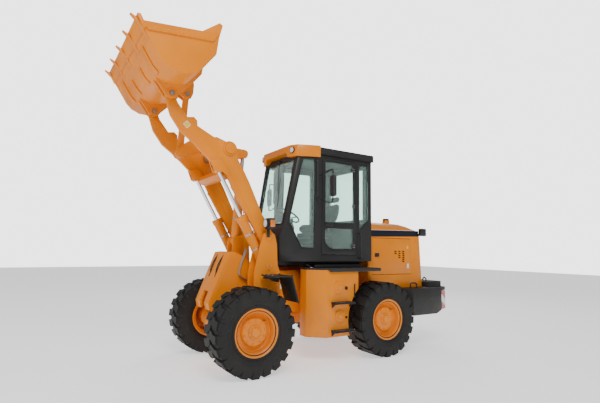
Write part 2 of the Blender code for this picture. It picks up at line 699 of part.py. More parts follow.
def rod_slot(start, end, half, x):
    """A cutter as wide as a cylinder rod's swing, from its eye to below the arm."""
    along = Vector((end[0] - start[0], end[1] - start[1])).normalized()
    across = Vector((-along.y, along.x)) * half
    a, b = Vector(start), Vector(end)
    outline = [tuple(a + across), tuple(a - across), tuple(b - across), tuple(b + across)]
    return plate(outline, x - 0.0295, x + 0.0295, "x")


def crank_shaft():
    shaft = cross_rod(CRANK_PIVOT, 0.490, 0.060)
    return finish(shaft, "crank_shaft", "steel")


def bell_crank():
    outline = [(-1.888, 2.845), (-1.902, 2.795), (-1.880, 2.748), (-1.832, 2.728), (-1.780, 2.745)]
    outline += [(-1.671, 2.813), (-1.550, 2.858), (-1.450, 2.830), (-1.390, 2.760), (-1.300, 2.730)]
    outline += [(-1.220, 2.755), (-1.150, 2.800), (-1.020, 2.812), (-0.930, 2.850), (-0.870, 2.850)]
    outline += [(-0.848, 2.890), (-0.843, 2.930), (-0.862, 2.962), (-0.905, 2.974), (-1.013, 2.975)]
    outline += [(-1.189, 3.050), (-1.330, 3.095), (-1.500, 3.070), (-1.680, 3.012), (-1.763, 2.956)]
    crank = plate(outline, -0.065, 0.065, "x")
    join(crank, cross_rod(CRANK_PIVOT, 0.11, 0.110))
    rear = [(-1.085, 2.70), (-0.70, 2.70), (-0.70, 3.15), (-1.085, 3.15)]
    front = [(-1.500, 2.60), (-1.500, 3.15), (-2.00, 3.15), (-2.00, 2.60)]
    cut(crank, plate(rear, -0.036, 0.036, "x"), plate(front, -0.034, 0.034, "x"))
    cut(crank, cross_rod(CRANK_PIVOT, 0.2, 0.060 + PIN_GAP))
    return finish(crank, "bell_crank", "paint")


def link_pin():
    return finish(cross_rod(LINK_TOP, 0.075, 0.028), "link_pin", "steel")


def tie_link():
    """Straight link from the bucket's centre lugs down to the crank's fork."""
    (a, b), (c, d) = LINK_FOOT, LINK_TOP
    bar = plate([(a - 0.042, b), (a + 0.042, b), (c + 0.036, d), (c - 0.036, d)], -0.026, 0.026, "x")
    join(bar, cross_rod(LINK_FOOT, 0.028, 0.062), cross_rod(LINK_TOP, 0.028, 0.058))
    return finish(cut(bar, cross_rod(LINK_TOP, 0.1, 0.028 + PIN_GAP)), "tie_link", "paint")


BUCKET_SKIN = (
    (-2.630, 4.070), (-2.506, 3.857), (-2.444, 3.760), (-2.380, 3.659), (-2.308, 3.588),
    (-2.195, 3.538), (-2.052, 3.535), (-1.958, 3.565), (-1.896, 3.619), (-1.715, 3.860),
    (-1.690, 4.060), (-1.648, 4.240),
)


def inner_line(line, wall):
    """Moves an open outline inwards by a wall thickness."""
    moved = []
    for k, point in enumerate(line):
        before = Vector(line[max(k - 1, 0)])
        after = Vector(line[min(k + 1, len(line) - 1)])
        along = (after - before).normalized()
        moved.append((point[0] - along.y * wall, point[1] + along.x * wall))
    return moved


def bucket():
    """Welded bucket: skin, side plates, lipped edge with five teeth, pin lugs and spill guard."""
    half = BUCKET_WIDTH / 2
    body = plate(list(BUCKET_SKIN) + [(-1.690, 4.262), (-1.915, 4.085), (-2.575, 4.010)], -half, half, "x")
    line = inner_line(BUCKET_SKIN, BUCKET_WALL)
    first = (line[0][0] - 0.10, line[0][1] + 0.16)
    room = [first] + line[1:] + [(-1.60, 4.50), (-2.60, 4.50)]
    cut(body, plate(room, -half + BUCKET_WALL, half - BUCKET_WALL, "x"))
    parts = []
    edge = [(-2.640, 4.075), (-2.560, 3.930), (-2.530, 3.946), (-2.605, 4.078)]
    parts.append(plate(edge, -half - 0.025, half + 0.025, "x"))
    strip = [(-2.575, 4.012), (-2.520, 3.925), (-1.760, 4.000), (-1.700, 4.110), (-1.915, 4.085)]
    parts += [plate(strip, x - 0.012, x + 0.012, "x") for x in (-half - 0.008, half + 0.008)]
    for k in range(5):
        x = (k - 2) * 0.45
        tooth = [(-2.480, 3.850), (-2.500, 3.838), (-2.600, 3.985), (-2.704, 4.080), (-2.640, 4.052), (-2.520, 3.90)]
        parts.append(plate(tooth, x - 0.030, x + 0.030, "x"))
    lug = [(-2.330, 3.612), (-2.210, 3.450), (-2.165, 3.385), (-2.105, 3.362), (-2.045, 3.385)]
    lug += [(-2.005, 3.450), (-1.860, 3.600), (-1.735, 3.760), (-1.720, 3.860), (-1.900, 3.640), (-2.050, 3.560)]
    for side in (-1, 1):
        for offset in (-0.051, 0.051):
            x = side * ARM_X + offset
            parts.append(plate(lug, x - 0.014, x + 0.014, "x"))
    centre = [(-1.905, 3.615), (-1.850, 3.585), (-1.790, 3.552), (-1.725, 3.575), (-1.698, 3.640)]
    centre += [(-1.690, 3.760), (-1.705, 3.880), (-1.740, 3.850)]
    for offset in (-0.052, 0.052):
        parts.append(plate(centre, offset - 0.014, offset + 0.014, "x"))
    join(body, *parts)
    bores = [cross_rod(BUCKET_PIN, 0.12, 0.034 + PIN_GAP, side * ARM_X) for side in (-1, 1)]
    bores.append(cross_rod(LINK_TOP, 0.1, 0.028 + PIN_GAP))
    return finish(cut(body, *bores), "bucket", "paint")


def bucket_pin():
    pin = cross_rod(BUCKET_PIN, 0.072, 0.034, ARM_X)
    return finish(pin, "bucket_pin_left", "steel")


def cylinder(base, eye, barrel_length, bore, rod_radius, start, x, half, names):
    """A hydraulic cylinder between two pins: the barrel on the first and the rod on the second."""
    a, b = Vector((x, *base)), Vector((x, *eye))
    length = (b - a).length
    outer = bore + 0.016
    slide = rod_radius + PIN_GAP
    profile = [
        (0.045, 0), (0.045, outer * 0.8), (0.08, outer), (barrel_length - 0.07, outer),
        (barrel_length - 0.068, outer + 0.008), (barrel_length - 0.006, outer + 0.008),
        (barrel_length, outer), (barrel_length, slide), (barrel_length - 0.06, slide),
        (barrel_length - 0.065, bore), (0.09, bore), (0.09, 0),
    ]
    barrel = lathe(profile, a, b - a, 20)
    pin = 0.028 + PIN_GAP
    join(barrel, cross_rod(base, half, 0.062, x))
    cut(barrel, cross_rod(base, 0.1, pin, x))
    finish(barrel, names[0], "paint")
    piston = [
        (start, 0), (start, bore - PIN_GAP), (start + 0.02, bore - PIN_GAP),
        (start + 0.02, rod_radius), (length - 0.03, rod_radius), (length - 0.03, 0),
    ]
    ram = lathe(piston, a, b - a, 20)
    join(ram, cross_rod(eye, 0.024, 0.056, x))
    finish(ram, names[1], "chrome")
    return barrel, ram


def build():
    for side, x in (("left", WHEEL_X), ("right", -WHEEL_X)):
        for end, y in (("front", FRONT_Y), ("rear", REAR_Y)):
            tyre(f"tyre_{end}_{side}", x, y)
            rim(f"rim_{end}_{side}", x, y)
    axle("front_axle", FRONT_Y, 1)
    axle("rear_axle", REAR_Y, -1)
    rear_frame()
    hood()
    mirrored(hood_door(), "engine_door_right")
    engine()
    radiator()
    counterweight()
    mirrored(tank(), "hydraulic_tank")
    mirrored(platform(), "platform_right")
    cab_shell()
    cab_roof()
    visor()
    pane(windscreen_hole(-SEAT_GAP), "windscreen")
    pane(rear_hole(-SEAT_GAP), "rear_window")
    mirrored(pane(front_quarter_hole(-SEAT_GAP), "quarter_glass_left"), "quarter_glass_right")
    mirrored(pane(rear_quarter_hole(-SEAT_GAP), "back_glass_left"), "back_glass_right")
    pane(side_hole(-0.04 - SEAT_GAP, -1.0, -0.3), "side_window_right")
    cab_door()
    door_glass(0, "door_glass_upper")
    door_glass(1, "door_glass_lower")
    seat()
    seat_base()
    console()
    steering_wheel()
    mirrored(mirror(), "mirror_right")
    front_frame()
    mirrored(fender(), "front_fender_right")
    mirrored(head_lamp(), "head_lamp_right")
    boom()
    crank_shaft()
    bell_crank()
    link_pin()
    tie_link()
    bucket()
    mirrored(bucket_pin(), "bucket_pin_right")
    for side, x in (("left", ARM_X), ("right", -ARM_X)):
        names = (f"lift_barrel_{side}", f"lift_rod_{side}")
        cylinder(LIFT_BASE, LIFT_EYE, 0.78, 0.050, 0.026, 0.67, x, 0.070, names)
    cylinder(TILT_BASE, CRANK_EYE, 0.68, 0.050, 0.028, 0.42, 0, 0.066, ("tilt_barrel", "tilt_rod"))


build()
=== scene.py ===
import json
from math import cos, pi, radians, sin

import bmesh
import bpy
from mathutils import Matrix, Vector


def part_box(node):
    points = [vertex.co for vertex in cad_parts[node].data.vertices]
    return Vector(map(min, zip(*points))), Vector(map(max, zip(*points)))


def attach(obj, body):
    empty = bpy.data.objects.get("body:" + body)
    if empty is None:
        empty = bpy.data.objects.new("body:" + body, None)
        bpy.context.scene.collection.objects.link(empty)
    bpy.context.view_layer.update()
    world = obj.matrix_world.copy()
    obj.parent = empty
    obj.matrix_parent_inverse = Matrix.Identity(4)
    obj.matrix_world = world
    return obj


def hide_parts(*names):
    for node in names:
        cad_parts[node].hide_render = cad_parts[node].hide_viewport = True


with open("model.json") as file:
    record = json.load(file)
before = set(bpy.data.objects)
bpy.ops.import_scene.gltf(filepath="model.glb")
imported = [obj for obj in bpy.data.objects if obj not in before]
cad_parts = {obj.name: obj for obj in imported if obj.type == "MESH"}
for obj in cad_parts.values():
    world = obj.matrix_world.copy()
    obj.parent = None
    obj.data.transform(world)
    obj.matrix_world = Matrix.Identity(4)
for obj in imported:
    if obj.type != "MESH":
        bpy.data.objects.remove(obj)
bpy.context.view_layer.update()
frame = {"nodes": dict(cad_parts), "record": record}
print("frame loaded:", len(frame["nodes"]), "nodes")


# finishes: shader sockets that can be added, multiplied and mixed

class Reading:
    def __init__(self, finish, socket):
        self.finish = finish
        self.socket = socket

    def maths(self, operation, first, second=0.0):
        return self.finish.node("ShaderNodeMath", {"operation": operation}, {0: first, 1: second})

    def __add__(self, other):
        return self.maths("ADD", self, other)

    def __sub__(self, other):
        return self.maths("SUBTRACT", self, other)

    def __rsub__(self, other):
        return self.maths("SUBTRACT", other, self)

    def __mul__(self, other):
        return self.maths("MULTIPLY", self, other)

    def __truediv__(self, other):
        return self.maths("DIVIDE", self, other)

    def __gt__(self, other):
        return self.maths("GREATER_THAN", self, other)

    def __lt__(self, other):
        return self.maths("LESS_THAN", self, other)

    def __mod__(self, other):
        return self.maths("FLOORED_MODULO", self, other)

    __radd__ = __add__
    __rmul__ = __mul__

    def sine(self):
        return self.maths("SINE", self)

    def size(self):
        return self.maths("ABSOLUTE", self)

    def ramp(self, low, high):  # 0 below low, 1 above high
        values = {0: self, 1: low, 2: high, 3: 0.0, 4: 1.0}
        return self.finish.node("ShaderNodeMapRange", {"clamp": True}, values)


class Finish:
    def __init__(self, name, colour, **constants):
        self.material = bpy.data.materials.new(name)
        self.material.use_nodes = True
        self.tree = self.material.node_tree
        self.shader = self.tree.nodes["Principled BSDF"]
        self.material.diffuse_color = (*colour, 1)
        self.feed("Base Color", (*colour, 1))
        for key, value in constants.items():
            self.feed(key.replace("_", " "), value)
        self.where = self.node("ShaderNodeTexCoord", {}, {}, "Object")

    def node(self, kind, settings, values, output=0):
        made = self.tree.nodes.new(kind)
        for key, value in settings.items():
            setattr(made, key, value)
        for key, value in values.items():
            if isinstance(value, Reading):
                self.tree.links.new(value.socket, made.inputs[key])
            else:
                made.inputs[key].default_value = value
        return Reading(self, made.outputs[output])

    def feed(self, name, value):
        if isinstance(value, Reading):
            self.tree.links.new(value.socket, self.shader.inputs[name])
        else:
            self.shader.inputs[name].default_value = value

    def noise(self, scale, detail=3.0, stretch=(1, 1, 1)):
        where = self.where
        if stretch != (1, 1, 1):
            where = self.node("ShaderNodeVectorMath", {"operation": "MULTIPLY"}, {0: where, 1: stretch})
        return self.node("ShaderNodeTexNoise", {}, {"Vector": where, "Scale": scale, "Detail": detail})

    def cells(self, scale):
        return self.node("ShaderNodeTexVoronoi", {}, {"Vector": self.where, "Scale": scale})

    def along(self, axis):
        return self.node("ShaderNodeSeparateXYZ", {}, {0: self.where}, axis)

    def blend(self, amount, first, second):
        def full(colour):
            return colour if isinstance(colour, Reading) else (*colour, 1)
        values = {0: amount, 6: full(first), 7: full(second)}
        return self.node("ShaderNodeMix", {"data_type": "RGBA"}, values, 2)

    def bump(self, height, depth, strength=1.0):
        values = {"Height": height, "Distance": depth, "Strength": strength}
        self.feed("Normal", self.node("ShaderNodeBump", {}, values))


def paintFinish(name, colour, shade, roughness, dust, coat=0.12, steps=None):
    made = Finish(name, colour, Coat_Roughness=0.18, IOR=1.5, Specular_IOR_Level=0.25)
    broad, fine = made.noise(1.7, 4.0), made.noise(38.0, 3.0)
    height = made.along(2)
    tone = made.blend(broad.ramp(0.35, 0.75), colour, shade)
    if steps:
        tone = made.blend(made.along(0).size() > 0.8135, tone, steps)
    low = (0.95 - height).ramp(0.0, 0.8) * made.noise(6.0, 5.0).ramp(0.42, 0.75)
    grime = low * dust
    made.feed("Base Color", made.blend(grime, tone, (0.20, 0.15, 0.10)))
    made.feed("Roughness", roughness + fine * 0.10 + grime * 0.35)
    made.feed("Coat Weight", coat - grime * coat)
    made.bump(made.noise(260.0, 2.0), 0.0004, 0.35)
    return made.material


def rubberFinish():
    made = Finish("tyreRubber", (0.016, 0.015, 0.014), Specular_IOR_Level=0.42)
    patches, grain = made.noise(5.0, 5.0), made.noise(140.0, 4.0)
    tone = made.blend(patches.ramp(0.40, 0.80), (0.007, 0.0065, 0.006), (0.019, 0.018, 0.016))
    made.feed("Base Color", tone)
    made.feed("Roughness", 0.50 + patches * 0.25 + grain * 0.12)
    made.bump(grain + made.cells(60.0) * 0.4, 0.0012, 0.5)
    return made.material


def glassFinish():
    made = Finish("mintGlass", (0.66, 0.86, 0.79), IOR=1.45, Transmission_Weight=0.95)
    haze = made.noise(3.0, 2.0)
    made.feed("Base Color", made.blend(haze, (0.64, 0.85, 0.78), (0.69, 0.88, 0.81)))
    made.feed("Roughness", made.noise(20.0, 4.0).ramp(0.55, 0.9) * 0.03)
    return made.material


def metalFinish(name, colour, roughness, stretch, change, cloud=0.15):
    made = Finish(name, colour, Metallic=1.0)
    streak = made.noise(60.0, 4.0, stretch)
    darker = tuple(part * 0.72 for part in colour)
    made.feed("Base Color", made.blend(streak * cloud * 4.0, colour, darker))
    made.feed("Roughness", roughness + streak * change)
    made.bump(streak, 0.0002, 0.25)
    return made.material


def mouldedFinish(name, colour, roughness, grain, depth=0.0005):
    made = Finish(name, colour)
    pebble = made.cells(grain)
    cloud = made.noise(4.0, 3.0)
    lighter = tuple(part * 1.6 + 0.006 for part in colour)
    made.feed("Base Color", made.blend(cloud.ramp(0.45, 0.85), colour, lighter))
    made.feed("Roughness", roughness + cloud * 0.12)
    made.bump(pebble, depth, 0.6)
    return made.material


def lampFinish(name, colour, glow, alpha):
    made = Finish(name, colour, Emission_Strength=glow, Coat_Weight=1.0, Coat_Roughness=0.03)
    x, z = made.along(0), made.along(2)
    flute = (x * 420.0).sine().size() * 0.5 + (z * 420.0).sine().size() * 0.5
    deep = tuple(part * 0.6 for part in colour)
    made.feed("Base Color", made.blend(flute, deep, colour))
    made.feed("Emission Color", made.blend(flute, deep, colour))
    made.feed("Alpha", alpha + flute * 0.1)
    made.feed("Roughness", 0.08 + flute * 0.06)
    made.bump(flute, 0.001, 0.5)
    return made.material


def fabricFinish():
    made = Finish("seatCloth", (0.030, 0.031, 0.036), Sheen_Weight=0.35, Sheen_Roughness=0.4)
    x, y, z = made.along(0), made.along(1), made.along(2)
    rise = y * 0.55 + z * 0.85
    warp, weft = (x * 1900.0).sine(), (rise * 1900.0).sine()
    weave = warp * weft * 0.5 + 0.5
    fleck = made.noise(240.0, 3.0)
    centre = (0.125 - x.size()) > 0.0
    cloth = made.blend(weave * 0.5 + fleck * 0.5, (0.016, 0.017, 0.020), (0.060, 0.062, 0.070))
    bolster = made.blend(fleck, (0.010, 0.010, 0.011), (0.024, 0.024, 0.026))
    made.feed("Base Color", made.blend(centre, bolster, cloth))
    made.feed("Roughness", 0.75 + fleck * 0.2)
    made.bump(weave * 0.6 + fleck * 0.4, 0.0006, 0.7)
    return made.material


def hazardFinish():
    made = Finish("hazardStripes", (0.85, 0.85, 0.83), Coat_Weight=0.3)
    slant = made.along(1) * 0.75 + made.along(0) * 0.65
    band = ((slant + made.along(2) * 1.0) / 0.235) % 1.0
    worn = made.noise(30.0, 4.0)
    red = made.blend(worn, (0.52, 0.004, 0.003), (0.42, 0.006, 0.005))
    white = made.blend(worn, (0.82, 0.82, 0.80), (0.72, 0.72, 0.70))
    made.feed("Base Color", made.blend(band > 0.5, white, red))
    made.feed("Roughness", 0.32 + worn * 0.15)
    return made.material


def hoseFinish():
    made = Finish("hoseRubber", (0.014, 0.014, 0.015))
    x, y, z = made.along(0), made.along(1), made.along(2)
    braid = ((x + y + z) * 900.0).sine() * ((x - y + z) * 900.0).sine() * 0.5 + 0.5
    made.feed("Base Color", made.blend(braid, (0.010, 0.010, 0.011), (0.028, 0.028, 0.030)))
    made.feed("Roughness", 0.50 + made.noise(25.0, 3.0) * 0.2)
    made.bump(braid, 0.0006, 0.5)
    return made.material


def treadFinish():
    made = Finish("chequerPlate", (0.050, 0.048, 0.046))
    x, y = made.along(0), made.along(1)
    one, two = x * 0.7071 + y * 0.7071, x * 0.7071 - y * 0.7071
    ribs = ((one * 130.0).sine() > 0.55) * ((two * 45.0).sine() > 0.0)
    cross = ((two * 130.0).sine() > 0.55) * ((one * 45.0).sine() < 0.0)
    raised = ribs + cross
    made.feed("Base Color", made.blend(raised * 0.6, (0.040, 0.039, 0.037), (0.11, 0.105, 0.10)))
    made.feed("Roughness", 0.62 - raised * 0.15 + made.noise(12.0, 4.0) * 0.15)
    made.bump(raised, 0.002, 0.7)
    return made.material


def coreFinish():
    made = Finish("radiatorCore", (0.03, 0.03, 0.032), Metallic=0.6)
    # the fin stripes set the bump and also paint the gaps between the fins darker, as shade
    finsAndGapShade = (made.along(2) * 700.0).sine() * 0.5 + 0.5
    tubes = (made.along(0) * 260.0).sine() > 0.7
    made.feed("Base Color", made.blend(finsAndGapShade, (0.008, 0.008, 0.009), (0.06, 0.06, 0.065)))
    made.feed("Roughness", 0.45 + tubes * 0.2)
    made.bump(finsAndGapShade + tubes, 0.002, 0.6)
    return made.material


def floorFinish():
    made = Finish("studioFloor", (0.86, 0.86, 0.86))
    cloud = made.noise(0.4, 3.0)
    made.feed("Base Color", made.blend(cloud, (0.85, 0.85, 0.85), (0.88, 0.88, 0.88)))
    made.feed("Roughness", 0.75 + cloud * 0.1)
    made.feed("Emission Color", (1, 1, 1, 1))
    made.feed("Emission Strength", 0.75)
    return made.material


finishes = {
    "yellow": paintFinish("machineYellow", (0.84, 0.245, 0.0), (0.74, 0.205, 0.0), 0.30, 0.35),
    "grey": paintFinish("frameGrey", (0.024, 0.024, 0.023), (0.017, 0.017, 0.016), 0.42, 0.30, 0.15),
    "tank": paintFinish("tankYellow", (0.84, 0.245, 0.0), (0.74, 0.205, 0.0), 0.30, 0.35, 0.12,
                        (0.022, 0.021, 0.021)),
    "navy": paintFinish("hoodStripe", (0.006, 0.008, 0.020), (0.004, 0.006, 0.014), 0.28, 0.0),
    "pale": paintFinish("blankLabel", (0.80, 0.80, 0.76), (0.74, 0.74, 0.70), 0.35, 0.0),
    "lemon": paintFinish("warningLabel", (0.85, 0.60, 0.02), (0.80, 0.55, 0.02), 0.35, 0.0),
    "rubber": rubberFinish(),
    "glass": glassFinish(),
    "chrome": metalFinish("chromedRod", (0.86, 0.87, 0.88), 0.05, (1, 1, 6), 0.06, 0.03),
    "steel": metalFinish("pinSteel", (0.42, 0.41, 0.40), 0.30, (3, 1, 1), 0.25),
    "zinc": metalFinish("zincBolt", (0.55, 0.52, 0.44), 0.32, (1, 1, 1), 0.20),
    "casting": mouldedFinish("blackCasting", (0.014, 0.014, 0.015), 0.55, 90.0, 0.0010),
    "plastic": mouldedFinish("blackPlastic", (0.012, 0.012, 0.013), 0.48, 420.0),
    "seal": mouldedFinish("windowSeal", (0.008, 0.008, 0.008), 0.60, 200.0),
    "mat": mouldedFinish("floorMat", (0.020, 0.020, 0.021), 0.80, 60.0, 0.0015),
    "cloth": fabricFinish(),
    "lens": lampFinish("lampGlass", (0.88, 0.91, 0.93), 0.05, 0.85),
    "amber": lampFinish("amberLens", (0.90, 0.22, 0.01), 0.08, 0.90),
    "ruby": lampFinish("redLens", (0.60, 0.01, 0.01), 0.08, 0.90),
    "mirror": metalFinish("mirrorFace", (0.90, 0.91, 0.92), 0.02, (1, 1, 1), 0.03, 0.01),
    "hazard": hazardFinish(),
    "hose": hoseFinish(),
    "chequer": treadFinish(),
    "core": coreFinish(),
}
print("finishes made:", len(finishes))


# shapes: closed forms gathered into one mesh

def ringOutline(radius, steps):
    turn = [2 * pi * k / steps for k in range(steps)]
    return [(radius * cos(a), radius * sin(a)) for a in turn]


def frameOf(direction):
    along = Vector(direction).normalized()
    side = along.orthogonal().normalized() if abs(along.x) < 0.9 else along.cross(Vector((0, 0, 1))).normalized()
    return along, side, along.cross(side)


class Shape:
    def __init__(self):
        self.points = []
        self.faces = []

    def add(self, points, faces):
        first = len(self.points)
        self.points += [tuple(p) for p in points]
        self.faces += [tuple(first + k for k in face) for face in faces]
        return self

    def block(self, low, high, edge=0.004, turn=None):
        work = bmesh.new()
        bmesh.ops.create_cube(work, size=1.0)
        middle = (Vector(low) + Vector(high)) / 2
        size = Vector([b - a for a, b in zip(low, high)])
        for vert in work.verts:
            vert.co = Vector([c * s for c, s in zip(vert.co, size)])
        edge = min(edge, min(size) * 0.45)
        if edge > 0:
            bmesh.ops.bevel(work, geom=list(work.edges), offset=edge, segments=2, profile=0.5, affect="EDGES")
        matrix = Matrix.Translation(middle) @ (turn or Matrix.Identity(4))
        work.verts.index_update()
        self.add([matrix @ v.co for v in work.verts], [[v.index for v in f.verts] for f in work.faces])
        work.free()
        return self

    def sideBlock(self, side, low, high, edge):  # low and high are those of the left side
        near, far = sorted((side * low[0], side * high[0]))
        return self.block((near, *low[1:]), (far, *high[1:]), edge)

    def onSide(self, side):  # a shape made on the left, turned over for the right
        self.points = [(side * x, y, z) for x, y, z in self.points]
        return self

    def rings(self, loops, closed=False):
        count = len(loops[0])
        points = [p for loop in loops for p in loop]
        faces = []
        for k in range(len(loops) - (0 if closed else 1)):
            a, b = k * count, (k + 1) % len(loops) * count
            faces += [(a + i, a + (i + 1) % count, b + (i + 1) % count, b + i) for i in range(count)]
        if not closed:
            faces += [tuple(reversed(range(count))), tuple(range(len(points) - count, len(points)))]
        return self.add(points, faces)

    def plate(self, outline, low, high, axis="x"):
        def place(u, v, w):
            return {"x": (w, u, v), "y": (u, w, v), "z": (u, v, w)}[axis]
        return self.rings([[place(u, v, w) for u, v in outline] for w in (low, high)])

    def lathe(self, profile, origin, axis, steps=48):
        along, side, other = frameOf(axis)
        origin = Vector(origin)
        loops = []
        for k in range(steps):
            angle = 2 * pi * k / steps
            out = side * cos(angle) + other * sin(angle)
            loops.append([origin + along * a + out * max(r, 0.0) for a, r in profile])
        return self.rings(loops, closed=True)

    def rod(self, start, end, radius, steps=24, edge=0.15):
        start, end = Vector(start), Vector(end)
        long, cut = (end - start).length, radius * edge
        cut = min(cut, long * 0.3)
        profile = [(0, 0), (0, radius - cut), (cut, radius), (long - cut, radius), (long, radius - cut), (long, 0)]
        return self.lathe(profile, start, end - start, steps)

    def tube(self, path, radius, steps=10, closed=False):
        path = [Vector(p) for p in path]
        loops = []
        side = None
        for k, point in enumerate(path):
            before = path[k - 1] if k or closed else point
            after = path[(k + 1) % len(path)] if k + 1 < len(path) or closed else point
            along = (after - before).normalized()
            if side is None:
                side = frameOf(along)[1]
            side = (side - along * side.dot(along)).normalized()
            other = along.cross(side)
            spin = [2 * pi * i / steps for i in range(steps)]
            loops.append([point + (side * cos(a) + other * sin(a)) * radius for a in spin])
        return self.rings(loops, closed)

    def mirrored(self):
        count = len(self.points)
        self.points += [(-x, y, z) for x, y, z in self.points]
        self.faces += [tuple(count + k for k in reversed(face)) for face in self.faces]
        return self


# A curve through the corners.
def smoothPath(corners, steps=8):
    corners = [Vector(c) for c in corners]
    ends = [corners[0] * 2 - corners[1]] + corners + [corners[-1] * 2 - corners[-2]]
    path = []
    for a, b, c, d in zip(ends, ends[1:], ends[2:], ends[3:]):
        for k in range(steps):
            t = k / steps
            path.append(0.5 * (2 * b + (c - a) * t + (2 * a - 5 * b + 4 * c - d) * t * t
                               + (3 * b - a - 3 * c + d) * t ** 3))
    return path + [corners[-1]]


def tidyMesh(mesh, merge=0.00005):
    work = bmesh.new()
    work.from_mesh(mesh)
    bmesh.ops.remove_doubles(work, verts=work.verts, dist=merge)
    bmesh.ops.dissolve_degenerate(work, edges=work.edges, dist=merge)
    bmesh.ops.recalc_face_normals(work, faces=work.faces)
    work.to_mesh(mesh)
    work.free()


def settle(piece, finish, body, replaced=(), angle=32):
    mesh = piece.data
    mesh.materials.clear()
    mesh.materials.append(finishes[finish])
    for face in mesh.polygons:
        face.material_index = 0
        face.use_smooth = True
    mesh.set_sharp_from_angle(angle=radians(angle))
    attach(piece, body)
    if replaced:
        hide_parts(*replaced)
    return piece


def link(name, mesh):
    piece = bpy.data.objects.new(name, mesh)
    bpy.context.scene.collection.objects.link(piece)
    return piece


def makePiece(name, shape, finish, body, replaced=(), angle=32, bevel=0.0):
    mesh = bpy.data.meshes.new(name)
    mesh.from_pydata(shape.points, [], shape.faces)
    tidyMesh(mesh)
    piece = link(name, mesh)
    if bevel:
        addBevel(piece, bevel)
        applyModifiers(piece)
    return settle(piece, finish, body, replaced, angle)


def addBevel(piece, width):
    layer = piece.modifiers.new("edge", "BEVEL")
    layer.width, layer.segments = width, 2
    layer.limit_method, layer.angle_limit = "ANGLE", radians(28)
    layer.use_clamp_overlap = True


def applyModifiers(piece):
    graph = bpy.context.evaluated_depsgraph_get()
    mesh = bpy.data.meshes.new_from_object(piece.evaluated_get(graph))
    piece.modifiers.clear()
    piece.data = mesh


def bodyOf(node):
    return next(body for body, nodes in frame["record"]["behaviour"]["bodies"].items() if node in nodes)


# A copy of a CAD part with its edges eased.
def softened(node, finish, width=0.003):
    mesh = frame["nodes"][node].data.copy()
    work = bmesh.new()
    work.from_mesh(mesh)
    bmesh.ops.remove_doubles(work, verts=work.verts, dist=0.00005)
    bmesh.ops.dissolve_limit(work, angle_limit=radians(0.5), verts=work.verts, edges=work.edges)
    work.to_mesh(mesh)
    work.free()
    if mesh.attributes.get("custom_normal"):
        mesh.attributes.remove(mesh.attributes["custom_normal"])
    piece = link(node + ".shell", mesh)
    addBevel(piece, width)
    applyModifiers(piece)
    return settle(piece, finish, bodyOf(node), (node,))


# repeats: Geometry Nodes trees, realized into one mesh for each body

# Sets a pattern on every point of a mesh, turned by the point's own "turn".
def repeatTree():
    tree = bpy.data.node_groups.new("repeatOnPoints", "GeometryNodeTree")
    sockets = (("Geometry", "NodeSocketGeometry", "INPUT"), ("Pattern", "NodeSocketObject", "INPUT"),
               ("Size", "NodeSocketFloat", "INPUT"), ("Finish", "NodeSocketMaterial", "INPUT"),
               ("Geometry", "NodeSocketGeometry", "OUTPUT"))
    for name, kind, way in sockets:
        tree.interface.new_socket(name, in_out=way, socket_type=kind)
    given, result = tree.nodes.new("NodeGroupInput"), tree.nodes.new("NodeGroupOutput")
    pattern, place = tree.nodes.new("GeometryNodeObjectInfo"), tree.nodes.new("GeometryNodeInstanceOnPoints")
    turn, solid = tree.nodes.new("GeometryNodeInputNamedAttribute"), tree.nodes.new("GeometryNodeRealizeInstances")
    coat = tree.nodes.new("GeometryNodeSetMaterial")
    turn.data_type = "FLOAT_VECTOR"
    turn.inputs["Name"].default_value = "turn"
    turned = next(out for out in turn.outputs if out.enabled)
    joins = ((given.outputs["Pattern"], pattern.inputs["Object"]),
             (given.outputs["Geometry"], place.inputs["Points"]),
             (pattern.outputs["Geometry"], place.inputs["Instance"]), (turned, place.inputs["Rotation"]),
             (given.outputs["Size"], place.inputs["Scale"]), (place.outputs["Instances"], solid.inputs[0]),
             (solid.outputs[0], coat.inputs["Geometry"]), (given.outputs["Finish"], coat.inputs["Material"]),
             (coat.outputs["Geometry"], result.inputs[0]))
    for source, target in joins:
        tree.links.new(source, target)
    return tree


repeatOnPoints = repeatTree()


# spots are (place, way the pattern's Z points, turn about that way).
def repeatPiece(name, pattern, spots, finish, body, size=1.0, angle=32):
    base = bpy.data.meshes.new(name)
    base.from_pydata([tuple(place) for place, way, spin in spots], [], [])
    turns = base.attributes.new("turn", "FLOAT_VECTOR", "POINT")
    for k, (place, way, spin) in enumerate(spots):
        quat = Vector(way).normalized().to_track_quat("Z", "Y")
        turned = quat.to_matrix() @ Matrix.Rotation(spin, 3, "Z")
        turns.data[k].vector = turned.to_euler()
    template = bpy.data.meshes.new(name + ".pattern")
    template.from_pydata(pattern.points, [], pattern.faces)
    tidyMesh(template)
    sample, piece = link(name + ".pattern", template), link(name, base)
    layer = piece.modifiers.new("repeat", "NODES")
    layer.node_group = repeatOnPoints
    given = {"Pattern": sample, "Size": size, "Finish": finishes[finish]}
    for item in repeatOnPoints.interface.items_tree:
        if item.in_out == "INPUT" and item.name in given:
            layer[item.identifier] = given[item.name]
    applyModifiers(piece)
    bpy.data.objects.remove(sample)
    return settle(piece, finish, body, angle=angle)


def boltHead(radius=0.012, tall=0.009):
    shape = Shape()
    hexagon = ringOutline(radius, 6)
    inner = ringOutline(radius * 0.82, 6)
    shape.rings([[(x, y, z) for x, y in ring] for ring, z in
                 ((hexagon, 0.002), (hexagon, tall * 0.8), (inner, tall))])
    shape.rings([[(x, y, z) for x, y in ringOutline(radius * 1.35, 12)] for z in (0.0, 0.0025)])
    return shape


def circleSpots(centre, way, radius, count, start=0.0):
    along, side, other = frameOf(way)
    turns = [start + 2 * pi * k / count for k in range(count)]
    return [(Vector(centre) + (side * cos(a) + other * sin(a)) * radius, along, a) for a in turns]


